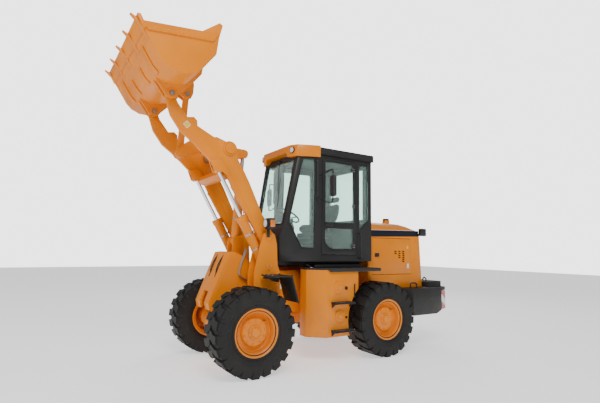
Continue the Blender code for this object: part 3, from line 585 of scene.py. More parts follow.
def gridSpots(origin, first, second, counts, way):
    origin, first, second = Vector(origin), Vector(first), Vector(second)
    return [(origin + first * i + second * j, Vector(way), 0.0) for i in range(counts[0]) for j in range(counts[1])]


# wheels

wheel = {"x": 0.7535, "z": 0.5375, "radius": 0.5375, "half": 0.198, "lugs": 21,
         "track": ((-1.071, "front"), (1.071, "rear"))}


def tyreProfile():
    outer = [(0.165, 0.2545), (0.176, 0.272), (0.184, 0.300), (0.194, 0.345), (0.1985, 0.400), (0.194, 0.445)]
    crown = [(0.188, 0.480), (0.176, 0.502), (0.140, 0.511), (0.065, 0.514)]
    side = outer + crown
    inside = [(-0.128, 0.480), (-0.168, 0.400), (-0.150, 0.300), (-0.140, 0.2545)]
    return side + [(-a, r) for a, r in reversed(side)] + inside + [(-a, r) for a, r in reversed(inside)]


# One bar of tread and its shoulder block, on a wheel that turns about X.
def lugPattern():
    shape = Shape()
    base, top, reach = 0.500, wheel["radius"] - 0.001, wheel["half"] - 0.001
    plan = [(-0.006, 0.012), (-0.006, 0.094), (0.050, 0.092), (0.105, 0.060), (reach - 0.012, 0.054)]
    plan += [(reach - 0.012, -0.050), (0.095, -0.046), (0.045, -0.016)]
    low = [(x, y, base - 0.012) for x, y in plan]
    high = [(x * 0.985 + 0.002, y * 0.92 + 0.002, (top * top - y * y) ** 0.5) for x, y in plan]
    shape.rings([low, high])
    arc = [(-0.040, 0.425), (0.042, 0.425), (0.048, 0.485), (-0.046, 0.485)]
    steps = ((0.184, 0.0), (reach + 0.0005, 0.004))
    shape.rings([[(x, y * (1 - cut * 8), z) for y, z in arc] for x, cut in steps])
    block = [(-0.048, 0.480), (0.050, 0.480), (0.049, 0.518), (-0.047, 0.518)]
    shape.rings([[(x, y, z - (x > 0.19) * (z > 0.5) * 0.006) for y, z in block] for x in (0.150, reach)])
    return shape


def sideRib(radius):
    return [(0.1955, radius - 0.004), (0.1990, radius), (0.1955, radius + 0.004)]


def buildTyre(name, x, y, body):
    middle = Vector((x, y, wheel["z"]))
    carcass = Shape().lathe(tyreProfile(), middle, (1, 0, 0), 88)
    for side in (-1, 1):
        for radius in (0.322, 0.376):
            carcass.lathe([(side * a, r) for a, r in sideRib(radius)], middle, (1, 0, 0), 88)
    makePiece(name + ".carcass", carcass, "rubber", body, (name,), angle=40)
    lugs = lugPattern()
    pitch = 2 * pi / wheel["lugs"]
    upright = Matrix.Rotation(pi / 2, 3, "Y").inverted()
    for side, word in ((-1, "Right"), (1, "Left")):
        bars = Shape().add([upright @ Vector((side * px, py, pz)) for px, py, pz in lugs.points], lugs.faces)
        spots = [(middle, (1, 0, 0), pitch * (k + 0.25 * side)) for k in range(wheel["lugs"])]
        repeatPiece(f"{name}.tread{word}", bars, spots, "rubber", body, angle=30)


def buildRim(name, x, y, body):
    out = 1 if x > 0 else -1
    middle = Vector((x, y, wheel["z"]))
    dish = [(0.117, 0.0), (0.117, 0.118), (0.113, 0.130), (0.113, 0.158), (0.106, 0.166), (0.078, 0.176),
            (0.071, 0.190)]
    dish += [(0.069, 0.222), (0.076, 0.232), (0.120, 0.236), (0.150, 0.242), (0.158, 0.252), (0.172, 0.266)]
    dish += [(0.1815, 0.276), (0.1815, 0.290), (0.176, 0.2935), (0.1655, 0.2935), (0.1655, 0.2540), (-0.1655, 0.2540)]
    dish += [(-0.1655, 0.2935), (-0.1815, 0.2935), (-0.1815, 0.276), (-0.150, 0.236), (-0.02, 0.226), (0.045, 0.200)]
    dish += [(0.045, 0.150), (0.041, 0.1495), (0.041, 0.0)]
    shape = Shape().lathe(dish, middle, (out, 0, 0), 72)
    makePiece(name + ".disc", shape, "yellow", body, (name,), angle=30)
    hub = Shape()
    cap = [(0.1165, 0.0), (0.1165, 0.088), (0.126, 0.088), (0.134, 0.080), (0.138, 0.060), (0.150, 0.056),
           (0.157, 0.048), (0.160, 0.0)]
    hub.lathe(cap, middle, (out, 0, 0), 40)
    stem = middle + Vector((out * 0.10, 0.185 * 0.7, 0.185 * 0.7))
    makePiece(name + ".hubCap", hub, "yellow", body, angle=30)
    valve = Shape().tube([stem - Vector((out * 0.03, 0, 0)), stem, stem + Vector((out * 0.03, 0.006, 0.006))],
                         0.005, 8)
    makePiece(name + ".valve", valve, "seal", body)
    face = middle + Vector((out * 0.1132, 0, 0))
    spots = circleSpots(face, (out, 0, 0), 0.1445, 10, 0.2)
    repeatPiece(name + ".wheelNuts", boltHead(0.0115, 0.011), spots, "yellow", body)
    caps = circleSpots(middle + Vector((out * 0.1378, 0, 0)), (out, 0, 0), 0.069, 8)
    repeatPiece(name + ".hubBolts", boltHead(0.006, 0.005), caps, "yellow", body)


for along, end in wheel["track"]:
    for side, across in (("left", wheel["x"]), ("right", -wheel["x"])):
        buildTyre(f"tyre_{end}_{side}", across, along, f"wheel_{end}_{side}")
        buildRim(f"rim_{end}_{side}", across, along, f"wheel_{end}_{side}")
print("wheels built")


# bucket: cutting edge, teeth, stiffeners and wear strips

pins = {"arm": 0.433, "tower": 0.538, "boom": (-0.72, 1.69), "lift": (-0.72, 1.29), "liftEye": (-1.45, 2.575),
        "tilt": (-0.98, 1.65), "tiltEye": (-0.90, 2.92), "crank": (-1.30, 2.855), "bucket": (-2.10, 3.44)}  # (y, z)
bucket = {"teeth": (-0.90, -0.45, 0.0, 0.45, 0.90), "stiffeners": (-0.62, 0.62), "ribs": (-0.23, 0.23),
          "strip": 0.9695, "bossOffsets": (-0.066, 0.066)}


def buildBucket():
    softened("bucket", "yellow", 0.0025)
    seam = Shape()
    under = [(-2.506, 3.857), (-2.444, 3.760), (-2.380, 3.659), (-2.308, 3.588)]
    outside = [(y - 0.013, z - 0.010) for y, z in under]
    for x in bucket["stiffeners"]:
        seam.plate(under + list(reversed(outside)), x - 0.055, x + 0.055, "x")
    for x in bucket["ribs"]:
        seam.plate(under[1:] + list(reversed(outside))[:-1], x - 0.035, x + 0.035, "x")
    makePiece("bucket.stiffeners", seam, "yellow", "bucket_body", bevel=0.003)
    weld = Shape()
    for y, z in ((-2.553, 3.926), (-1.722, 3.852)):
        weld.tube([(-0.93 + 0.0465 * k, y, z + 0.0012 * (k % 2)) for k in range(41)], 0.0055, 6)
    for x in bucket["teeth"]:
        for side in (-0.032, 0.032):
            near = min(max(x * 0.98 + side, -0.945), 0.945)
            weld.tube([(near, -2.490, 3.846), (near, -2.545, 3.930)], 0.005, 6)
    makePiece("bucket.welds", weld, "yellow", "bucket_body")
    bolts = []
    for side in (-1, 1):
        for k in range(5):
            way = (side, 0, 0)
            bolts.append(((side * bucket["strip"], -2.44 + 0.15 * k, 3.965 + 0.016 * k), way, 0.3 * k))
    repeatPiece("bucket.stripBolts", boltHead(0.011, 0.005), bolts, "yellow", "bucket_body")
    eyes = Shape()
    for side in (-1, 1):
        for offset in bucket["bossOffsets"]:
            x = side * pins["arm"] + offset
            ring = [(0.0, 0.038), (0.0, 0.058), (0.004, 0.061), (0.006, 0.058), (0.006, 0.038)]
            eyes.lathe(ring, (x, *pins["bucket"]), (1 if offset > 0 else -1, 0, 0), 28)
    makePiece("bucket.pinBosses", eyes, "yellow", "bucket_body")


# A retaining plate with bolts and a grease nipple on each end of a pin.
def pinCap(name, node, body, radius, finish="steel", start=0.3):
    low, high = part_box(node)
    middle = [(a + b) / 2 for a, b in zip(low, high)]
    shape, spots = Shape(), []
    for x, way in ((low[0], -1), (high[0], 1)):
        profile = [(0.0006, 0.0), (0.0006, radius - 0.003), (0.003, radius), (0.006, radius - 0.001),
                   (0.008, radius * 0.8), (0.008, 0.0)]
        shape.lathe(profile, (x, middle[1], middle[2]), (way, 0, 0), 24)
        nipple = [(0.0076, 0.0), (0.0076, 0.005), (0.014, 0.005), (0.016, 0.003), (0.020, 0.0035), (0.021, 0.0)]
        shape.lathe(nipple, (x, middle[1], middle[2]), (way, 0, 0), 10)
        spots += circleSpots((x + way * 0.0078, middle[1], middle[2]), (way, 0, 0), radius * 0.62, 3, start)
    makePiece(name + ".plate", shape, finish, body)
    repeatPiece(name + ".bolts", boltHead(0.006, 0.005), spots, finish, body)


# A pin end with its lock plate, on the outside of a welded boss.
def fixedCap(name, x, y, z, way, radius, body):
    shape = Shape()
    profile = [(0.0005, 0.0), (0.0005, radius), (0.005, radius), (0.007, radius - 0.002), (0.007, radius * 0.72),
               (0.009, radius * 0.68), (0.010, 0.0)]
    shape.lathe(profile, (x, y, z), (way, 0, 0), 28)
    span = sorted((x + way * 0.007, x + way * 0.013))
    shape.block((span[0], y - radius * 1.1, z + radius * 0.55), (span[1], y + radius * 1.1, z + radius * 0.92), 0.002)
    makePiece(name, shape, "yellow", body)
    spots = [((x + way * 0.012, y + dy, z + radius * 0.735), (way, 0, 0),
              0.4) for dy in (-radius * 0.85, radius * 0.85)]
    repeatPiece(name + ".bolts", boltHead(0.006, 0.004), spots, "zinc", body)


buildBucket()
pinCap("bucketPinLeft", "bucket_pin_left", "bucket_pins", 0.030)
pinCap("bucketPinRight", "bucket_pin_right", "bucket_pins", 0.030)
pinCap("crankShaft", "crank_shaft", "crank_shaft_body", 0.072, "yellow")
print("bucket finished")


# front frame: tower pins, pipes and hoses

nose = {"pipe": 0.009, "cheek": 0.272, "slots": (-0.105, 0.105), "slot": 0.013}
for side, word in ((1, "Left"), (-1, "Right")):
    fixedCap(f"boomPin{word}", side * pins["tower"], *pins["boom"], side, 0.043, "front_body")
    fixedCap(f"liftPin{word}", side * pins["tower"], *pins["lift"], side, 0.032, "front_body")
    lines = Shape()
    for k, across in enumerate((0.290, 0.268)):
        x = side * across
        lines.tube(smoothPath([(x, -0.62, 0.86), (x, -0.66, 1.02), (x, -0.985, 1.15), (x, -1.020, 1.28),
                               (x, -0.935, 1.52 + 0.03 * k)], 6), nose["pipe"], 8)
    makePiece(f"frontPipes{word}", lines, "steel", "front_body")
strips = Shape()
for side in (-1, 1):
    strips.sideBlock(side, (nose["cheek"], -0.40, 0.98), (nose["cheek"] + 0.005, -0.33, 1.06), 0.001)
makePiece("cheekLabels", strips, "pale", "front_body")


# Dark sheets on the raked nose paint the shade inside its slots, with the oil hoses that pass behind them.
def noseSlots():
    low, high = Vector((0, -1.440, 0.830)), Vector((0, -1.180, 1.490))
    along = (high - low).normalized()
    out = Vector((0, -along.z, along.y))
    slots, runs = Shape(), Shape()
    for x in nose["slots"]:
        a, b = low + along * 0.36 + out * 0.0008, low + along * 0.66 + out * 0.0008
        outline = []
        for middle, first in ((b, 0.0), (a, pi)):
            for k in range(9):
                a1 = first + pi / 8 * k
                outline.append(middle + Vector((nose["slot"] * cos(a1), 0, 0)) + along * nose["slot"] * sin(a1))
        # a thin dark sheet over each slot: painted shade of the opening
        slots.rings([[p + Vector((x, 0, 0)) + out * lift for p in outline] for lift in (0.0, 0.0012)])
        runs.tube(smoothPath([p + Vector((x, 0, 0)) for p in (
            a + along * 0.04, a + along * 0.10 + out * 0.016, a + along * 0.20 + out * 0.016, b - along * 0.02)], 6),
            nose["pipe"], 8)
    makePiece("noseSlots", slots, "seal", "front_body")
    makePiece("noseHoses", runs, "hose", "front_body")


noseSlots()
noseBolts = []
for side in (-1, 1):
    noseBolts += gridSpots((side * 0.5385, -0.88, 0.86), (0, 0.14, 0), (0, 0, 0.10), (3, 2), (side, 0, 0))
repeatPiece("towerBolts", boltHead(0.013, 0.009), noseBolts, "yellow", "front_body")


pipes = {"gap": 0.066, "clamps": (0.30, 0.52), "lift": 0.78, "tilt": 0.68}


# A steel oil pipe with clamps, along one side of a cylinder.
def barrelPipe(name, base, eye, x, length, body):
    base, eye = Vector((x, *base)), Vector((x, *eye))
    along = (eye - base).normalized()
    across = Vector((0, along.z, -along.y))
    def spot(a, out):
        return base + along * a + across * out
    gap = pipes["gap"]
    shape = Shape().tube(smoothPath([spot(0.10, gap + 0.001), spot(0.10, gap + 0.016), spot(0.13, gap + 0.022),
                                     spot(length - 0.11, gap + 0.022), spot(length - 0.07, gap + 0.017),
                                     spot(length - 0.07, gap + 0.001)], 5), 0.0075, 8)
    for a in pipes["clamps"]:
        shape.tube([spot(a, gap + 0.002), spot(a, gap + 0.030)], 0.011, 8)
    for a in (0.10, length - 0.07):
        shape.rod(spot(a, gap - 0.002), spot(a, gap + 0.012), 0.017, 6, 0.1)
    makePiece(name + ".pipe", shape, "yellow", body)
    bands = Shape()
    for a in pipes["clamps"]:
        profile = [(-0.010, 0.0663), (-0.010, 0.0685), (0.010, 0.0685), (0.010, 0.0663)]
        bands.lathe(profile, base + along * a, along, 36)
    makePiece(name + ".clamps", bands, "steel", body)


for side, word in ((1, "Left"), (-1, "Right")):
    cylinder = "lift_cylinder_" + word.lower()
    barrelPipe("liftPipe" + word, pins["lift"], pins["liftEye"], side * pins["arm"], pipes["lift"], cylinder)
barrelPipe("tiltPipe", pins["tilt"], pins["tiltEye"], 0.0, pipes["tilt"], "tilt_cylinder")

arm = {"face": 0.0255, "crankWeld": (0.098, 0.0045), "boomWeld": (0.0875, 0.0040), "out": 0.4582}


def armWelds():
    weld = Shape()
    for side in (-1, 1):
        for face in (-1, 1):
            x = side * pins["arm"] + face * arm["face"]
            for (y, z), (reach, bead) in ((pins["crank"], arm["crankWeld"]), (pins["boom"], arm["boomWeld"])):
                turns = [2 * pi * k / 36 for k in range(36)]
                weld.tube([(x, y + reach * sin(a), z + reach * cos(a)) for a in turns], bead, 6, True)
    makePiece("armWelds", weld, "yellow", "boom_arms")
    label = Shape()
    sign = [(-1.935, 3.085), (-1.885, 3.135), (-1.835, 3.085), (-1.885, 3.035)]
    label.plate(sign, arm["out"], arm["out"] + 0.0012, "x").mirrored()
    makePiece("armLabels", label, "pale", "boom_arms")
    mark = Shape()
    inner = [(-1.927, 3.085), (-1.885, 3.127), (-1.843, 3.085), (-1.885, 3.043)]
    mark.plate(inner, arm["out"] + 0.0012, arm["out"] + 0.0018, "x").mirrored()
    makePiece("armLabelMarks", mark, "lemon", "boom_arms")


armWelds()
print("frame and linkage finished")


# cab: seals, door, mirrors, lamps, wiper and rails

cab = {"half": 0.610, "shoulder": 0.02, "seal": 0.0085,
       "front": ((1.372, -0.49, 0.42), (1.72, -0.50, 0.42), (1.94, -0.43, 0.445), (2.93, -0.25, 0.500))}


def frontAt(z):
    rows = cab["front"]
    for (a, ya, wa), (b, yb, wb) in zip(rows, rows[1:]):
        if z <= b:
            t = (z - a) / (b - a)
            return ya + (yb - ya) * t, wa + (wb - wa) * t
    return rows[-1][1:]


def cabSide(y, z):
    yf, wide = frontAt(z)
    if y >= cab["shoulder"]:
        return cab["half"]
    return wide + (cab["half"] - wide) * (y - yf) / (cab["shoulder"] - yf)


def roundCorners(outline, cut=0.035, steps=4):
    made = []
    for k, corner in enumerate(outline):
        here = Vector(corner)
        before, after = Vector(outline[k - 1]), Vector(outline[(k + 1) % len(outline)])
        a = here + (before - here).normalized() * cut
        b = here + (after - here).normalized() * cut
        made += [((1 - t) ** 2) * a + 2 * t * (1 - t) * here + t * t * b for t in [i / steps for i in range(steps + 1)]]
    return made


def longer(outline, most=0.12):
    made = []
    for a, b in zip(outline, outline[1:] + outline[:1]):
        count = max(1, int((b - a).length / most))
        made += [a + (b - a) * k / count for k in range(count)]
    return made


def sealAround(name, outlines, body, place, radius=None):
    shape = Shape()
    for outline in outlines:
        for path in place(longer(roundCorners(outline))):
            shape.tube(path, radius or cab["seal"], 8, True)
    return makePiece(name, shape, "seal", body)


def bothCheeks(path):
    left = [Vector((cabSide(y, z) + 0.001, y, z)) for y, z in path]
    return [left, [Vector((-p.x, p.y, p.z)) for p in left]]


def leftCheek(path):
    return bothCheeks(path)[:1]


def rightCheek(path):
    return bothCheeks(path)[1:]


frontQuarter = [(-0.19, 2.86), (-0.375, 1.93), (-0.19, 1.56), (-0.02, 1.56), (-0.02, 2.86)]
rearQuarter = [(0.79, 2.86), (0.79, 1.86), (0.985, 2.00), (0.985, 2.86)]
sealAround("sideSeals", (frontQuarter, rearQuarter), "rear_body", bothCheeks)
sealAround("rightWindowSeal", ([(0.14, 1.51), (0.695, 1.51), (0.695, 2.85), (0.14, 2.85)],), "rear_body", rightCheek)
upperLight = [(0.145, 1.935), (0.69, 1.935), (0.69, 2.845), (0.145, 2.845)]
lowerLight = [(0.145, 1.865), (0.69, 1.865), (0.69, 1.55), (0.265, 1.55), (0.145, 1.64)]
sealAround("doorSeals", (upperLight, lowerLight), "left_cab_door", leftCheek)
sealAround("doorFrameSeal", ([(0.094, 1.464), (0.741, 1.464), (0.741, 2.896), (0.094, 2.896)],), "rear_body",
           leftCheek, 0.004)
windscreenEdge = [(-0.385, 1.90), (0.385, 1.90), (0.42, 2.86), (-0.42, 2.86)]
sealAround("windscreenSeal", (windscreenEdge,), "rear_body",
           lambda path: [[Vector((x, frontAt(z)[0] - 0.001, z)) for x, z in path]])
sealAround("rearSeal", ([(-0.45, 2.02), (0.45, 2.02), (0.45, 2.84), (-0.45, 2.84)],), "rear_body",
           lambda path: [[Vector((x, 1.046, z)) for x, z in path]])


door = {"hinges": (1.60, 2.20, 2.76), "leaf": 0.030, "rails": ((-0.012, 2.30, 2.84), (0.790, 1.42, 1.80))}
mirror = {"x": 0.930, "z": 2.43, "wide": 0.060, "tall": 0.150, "corner": 0.030, "arms": (2.62, 2.25)}
lamps = {"beam": (0.597, -0.8185, 1.882), "beamSize": 0.062, "visor": (0.448, -0.336, 2.977), "visorSize": 0.047}
roof = {"ribs": (-0.46, -0.23, 0.0, 0.23, 0.46), "gutter": 2.938}


def buildDoorFittings():
    handle = Shape().block((0.6115, 0.135, 1.872), (0.622, 0.285, 1.928), 0.005)
    handle.tube(smoothPath([(0.620, 0.150, 1.900), (0.648, 0.160, 1.902), (0.652, 0.215, 1.902),
                            (0.648, 0.265, 1.902),
                            (0.620, 0.272, 1.900)], 5), 0.008, 10)
    handle.rod((0.612, 0.165, 1.845), (0.626, 0.165, 1.845), 0.016, 20)
    makePiece("doorHandle", handle, "plastic", "left_cab_door")
    leaves = Shape()
    for z in door["hinges"]:
        leaves.block((0.6105, 0.655, z - door["leaf"]), (0.6155, 0.722, z + door["leaf"]), 0.0015)
    plates = Shape()
    for z in door["hinges"]:
        leaves.rod((0.6185, 0.7295, z - 0.045), (0.6185, 0.7295, z + 0.045), 0.0038, 12)
        plates.block((0.6105, 0.752, z - door["leaf"]), (0.6145, 0.784, z + door["leaf"]), 0.0015)
    makePiece("doorHinges", leaves, "seal", "left_cab_door")
    makePiece("hingePlates", plates, "seal", "rear_body")
    spots = [((0.6155, 0.672 + 0.03 * i, z + dz), (1, 0, 0),
              0.2) for z in door["hinges"] for i in (0, 1) for dz in (-0.016, 0.016)]
    repeatPiece("hingeScrews", boltHead(0.005, 0.003), spots, "zinc", "left_cab_door")
    rail = Shape()
    for side in (-1, 1):
        for y, low, high in door["rails"]:
            x = side * cabSide(y, low)
            out = x + side * 0.050
            rail.tube(smoothPath([(x, y, low), (out, y, low + 0.015), (out, y, low + 0.08), (out, y, high - 0.08),
                                  (out, y, high - 0.015), (x, y, high)], 6), 0.011, 12)
            for z in (low, high):
                rail.lathe([(0.0, 0.0), (0.0, 0.022), (0.005, 0.021), (0.006, 0.0)], (x, y, z), (side, 0, 0), 16)
    makePiece("grabRails", rail, "plastic", "rear_body")


def buildMirror(side, word):
    name = "mirror_" + word
    body = bodyOf(name)
    tube = [(0.6105, 0.05, 2.62), (0.66, 0.05, 2.62), (0.88, 0.05, 2.66), (0.93, 0.05, 2.63), (0.93, 0.05, 2.45),
            (0.93, 0.05, 2.24), (0.88, 0.05, 2.20), (0.66, 0.05, 2.25), (0.6105, 0.05, 2.25)]
    arms = Shape().tube([(side * p.x, p.y, p.z) for p in smoothPath(tube, 6)], 0.0105, 12)
    for z in mirror["arms"]:
        arms.lathe([(0.0, 0.0), (0.0, 0.026), (0.006, 0.025), (0.008, 0.012), (0.020, 0.014), (0.021, 0.0)],
                   (side * 0.6105, 0.05, z), (side, 0, 0), 20)
    makePiece(name + ".arms", arms, "plastic", body)
    loops = []
    for y, shrink in ((0.030, 0.022), (0.036, 0.008), (0.048, 0.001), (0.070, 0.001), (0.0745, 0.004),
                      (0.0745, 0.010), (0.070, 0.011)):
        half, tall, r = mirror["wide"] - shrink, mirror["tall"] - shrink, mirror["corner"]
        corner = [(cx * (half - r) + r * cos(a), cz * (tall - r) + r * sin(a))
                  for cx, cz, first in ((1, 1, 0), (-1, 1, pi / 2), (-1, -1, pi), (1, -1, 3 * pi / 2))
                  for a in [first + pi / 10 * i for i in range(6)]]
        loops.append([(side * mirror["x"] + u, y, mirror["z"] + v) for u, v in corner])
    head = Shape().rings(loops)
    makePiece(name + ".head", head, "plastic", body, (name,))
    face = Shape().rings([[(x, 0.0706 + dy, z) for x, y, z in loops[-1]] for dy in (0.0, 0.0012)])
    makePiece(name + ".face", face, "mirror", body)


# A lamp with a bezel, a dished reflector and a domed lens.
def roundLamp(name, centre, way, radius, deep, body):
    shell = [(-deep, 0.0), (-deep, radius * 0.55), (-deep * 0.75, radius * 0.86), (-0.010, radius * 0.99),
             (0.0, radius),
             (0.004, radius * 0.97), (0.004, radius * 0.86), (0.0, radius * 0.84), (-deep * 0.35, radius * 0.70),
             (-deep * 0.45, 0.0)]
    makePiece(name + ".shell", Shape().lathe(shell, centre, way, 40), "plastic", body)
    dish = [(-deep * 0.42, 0.0), (-deep * 0.33, radius * 0.66), (-0.003, radius * 0.82), (-0.001, radius * 0.83),
            (-0.003, radius * 0.80), (-deep * 0.26, radius * 0.60), (-deep * 0.30, 0.0)]
    makePiece(name + ".reflector", Shape().lathe(dish, centre, way, 40), "chrome", body)
    lens = [(0.0012, 0.0), (0.0005, radius * 0.835), (0.002, radius * 0.835), (0.0055, radius * 0.60), (0.0075, 0.0)]
    makePiece(name + ".lens", Shape().lathe(lens, centre, way, 40), "lens", body)


def buildHeadLamp(side, word):
    name, body = "head_lamp_" + word, "front_body"
    shell = Shape().block((0.530, -0.794, 1.805), (0.664, -0.700, 1.955), 0.016)
    shell.block((0.540, -0.765, 1.700), (0.561, -0.725, 1.830), 0.003)
    for k in range(3):
        shell.block((0.545, -0.7015 - 0.001, 1.84 + 0.035 * k), (0.650, -0.699, 1.852 + 0.035 * k), 0.001)
    makePiece(name + ".housing", shell.onSide(side), "plastic", body, (name,))
    x, y, z = lamps["beam"]
    roundLamp(name + ".beam", (side * x, y, z), (0, -1, 0), lamps["beamSize"], 0.045, body)
    signal = Shape().block((0.6645, -0.783, 1.832), (0.696, -0.717, 1.928), 0.012)
    makePiece(name + ".signal", signal.onSide(side), "amber", body)


buildDoorFittings()
for side, word in ((1, "left"), (-1, "right")):
    buildMirror(side, word)
    buildHeadLamp(side, word)
    x, y, z = lamps["visor"]
    roundLamp("visorLamp." + word, (side * x, y, z), (side * 0.20, -0.98, 0), lamps["visorSize"], 0.034, "rear_body")
roofWork = Shape()
for x in roof["ribs"]:
    roofWork.block((x - 0.035, 0.10, 3.0345), (x + 0.035, 1.03, 3.0445), 0.004)
makePiece("roofRibs", roofWork, "grey", "rear_body")
gutter = Shape()
for side in (-1, 1):
    gutter.tube([(side * 0.6375, 0.06 + 0.1 * k, roof["gutter"]) for k in range(11)], 0.006, 8)
gutter.tube([(-0.60 + 0.1 * k, 1.0765, roof["gutter"]) for k in range(13)], 0.006, 8)
makePiece("roofGutter", gutter, "seal", "rear_body")


def buildWiper():
    def on(x, z, out):
        return Vector((x, frontAt(z)[0] - out, z))
    arm = Shape().tube([on(0.02, 2.845, 0.012), on(0.03, 2.80, 0.030), on(0.13, 2.45, 0.034),
                        on(0.16, 2.36, 0.026)], 0.006, 8)
    arm.rod(on(0.02, 2.885, 0.0), on(0.02, 2.870, 0.035), 0.014, 16)
    blade = [on(0.115, 2.62, 0.018), on(0.145, 2.46, 0.020), on(0.170, 2.30, 0.019), on(0.188, 2.16, 0.018)]
    arm.tube(smoothPath(blade, 5), 0.0055, 6)
    makePiece("wiper", arm, "seal", "rear_body")


buildWiper()
print("cab outside finished")


# engine house: stripe, labels, latches, filler cap, lamps and louvres

house = {"stripe": ((1.11, 1.758), (2.19, 1.788), (2.19, 1.880), (1.11, 1.862)), "half": 0.530,
         "vents": ((1.62, 2), (1.71, 4), (1.80, 6)), "slats": 9, "cap": (0.20, 1.75), "capSize": 0.050,
         "screws": ((1.09, 1.05), (1.09, 1.40), (1.09, 1.95), (2.10, 1.05), (2.10, 1.40), (2.10, 1.70))}


def sidePlates(name, outlines, finish, body, out=0.0006, thick=0.0012):
    shape = Shape()
    for outline in outlines:
        shape.plate(outline, house["half"] + out, house["half"] + out + thick, "x")
    shape.mirrored()
    return makePiece(name, shape, finish, body)


def card(y, z, wide, tall):
    return [(y - wide, z - tall), (y + wide, z - tall), (y + wide, z + tall), (y - wide, z + tall)]


def buildHouse():
    sidePlates("hoodStripe", (house["stripe"],), "navy", "rear_body")
    top = house["stripe"]
    line = [(top[3][0], top[3][1] + 0.003), (top[2][0], top[2][1] + 0.003), (top[2][0], top[2][1] + 0.008),
            (top[3][0], top[3][1] + 0.008)]
    sidePlates("hoodLine", (line,), "pale", "rear_body")
    for side, word, body in ((1, "left", "left_engine_door"), (-1, "right", "right_engine_door")):
        sign = Shape().plate(card(1.925, 1.60, 0.018, 0.025), 0.5306, 0.5316, "x").onSide(side)
        makePiece(f"doorLabels.{word}", sign, "lemon", body)
        note = Shape().plate(card(1.925, 1.290, 0.020, 0.038), 0.5306, 0.5316, "x").onSide(side)
        makePiece(f"doorNote.{word}", note, "pale", body)
        fitting = Shape().block((0.5304, 1.185, 1.440), (0.5420, 1.275, 1.500), 0.005)
        fitting.rod((0.540, 1.228, 1.470), (0.548, 1.228, 1.470), 0.014, 20)
        fitting.block((0.5410, 1.236, 1.462), (0.5475, 1.268, 1.478), 0.003)
        makePiece(f"doorLatch.{word}", fitting.onSide(side), "plastic", body)
        rim = Shape()
        for y, rows in house["vents"]:
            for k in range(rows):
                z = 1.54 - 0.033 * k
                rim.tube([(0.5312, y + 0.019 * cos(a),
                           z + 0.0115 * sin(a)) for a in [pi / 8 * i for i in range(16)]], 0.0022, 6, True)
        makePiece(f"ventLips.{word}", rim.onSide(side), "yellow", body)
    cap = Shape()
    profile = [(0.0006, 0.0), (0.0006, 0.046), (0.010, 0.050), (0.022, 0.050), (0.028, 0.044), (0.030, 0.0)]
    x, y = house["cap"]
    cap.lathe(profile, (x, y, 2.0605), (0, 0, 1), 36)
    for k in range(12):
        a = 2 * pi * k / 12
        u, v = x + house["capSize"] * cos(a), y + house["capSize"] * sin(a)
        cap.rod((u, v, 2.064), (u, v, 2.082), 0.005, 8)
    makePiece("fillerCap", cap, "seal", "rear_body")
    tails, red, amber = Shape(), Shape(), Shape()
    for side in (-1, 1):
        tails.sideBlock(side, (0.5308, 2.190, 1.795), (0.585, 2.330, 1.925), 0.010)
        red.sideBlock(side, (0.540, 2.3302, 1.805), (0.577, 2.340, 1.858), 0.004)
        amber.sideBlock(side, (0.540, 2.3302, 1.864), (0.577, 2.340, 1.915), 0.004)
    makePiece("tailLamps.housings", tails, "plastic", "rear_body")
    makePiece("tailLamps.red", red, "ruby", "rear_body")
    makePiece("tailLamps.amber", amber, "amber", "rear_body")
    slats = Shape()
    for k in range(house["slats"]):
        z = 1.10 + 0.075 * k
        slats.block((-0.395, 2.236, z + 0.002), (0.395, 2.250, z + 0.010), 0.001,
                    Matrix.Rotation(radians(28), 4, "X"))
    makePiece("grilleSlats", slats, "seal", "rear_body")
    spots = [((side * 0.5305, y, z), (side, 0, 0), 0.3) for side in (-1, 1) for y, z in house["screws"]]
    repeatPiece("hoodScrews", boltHead(0.009, 0.006), spots, "yellow", "rear_body")


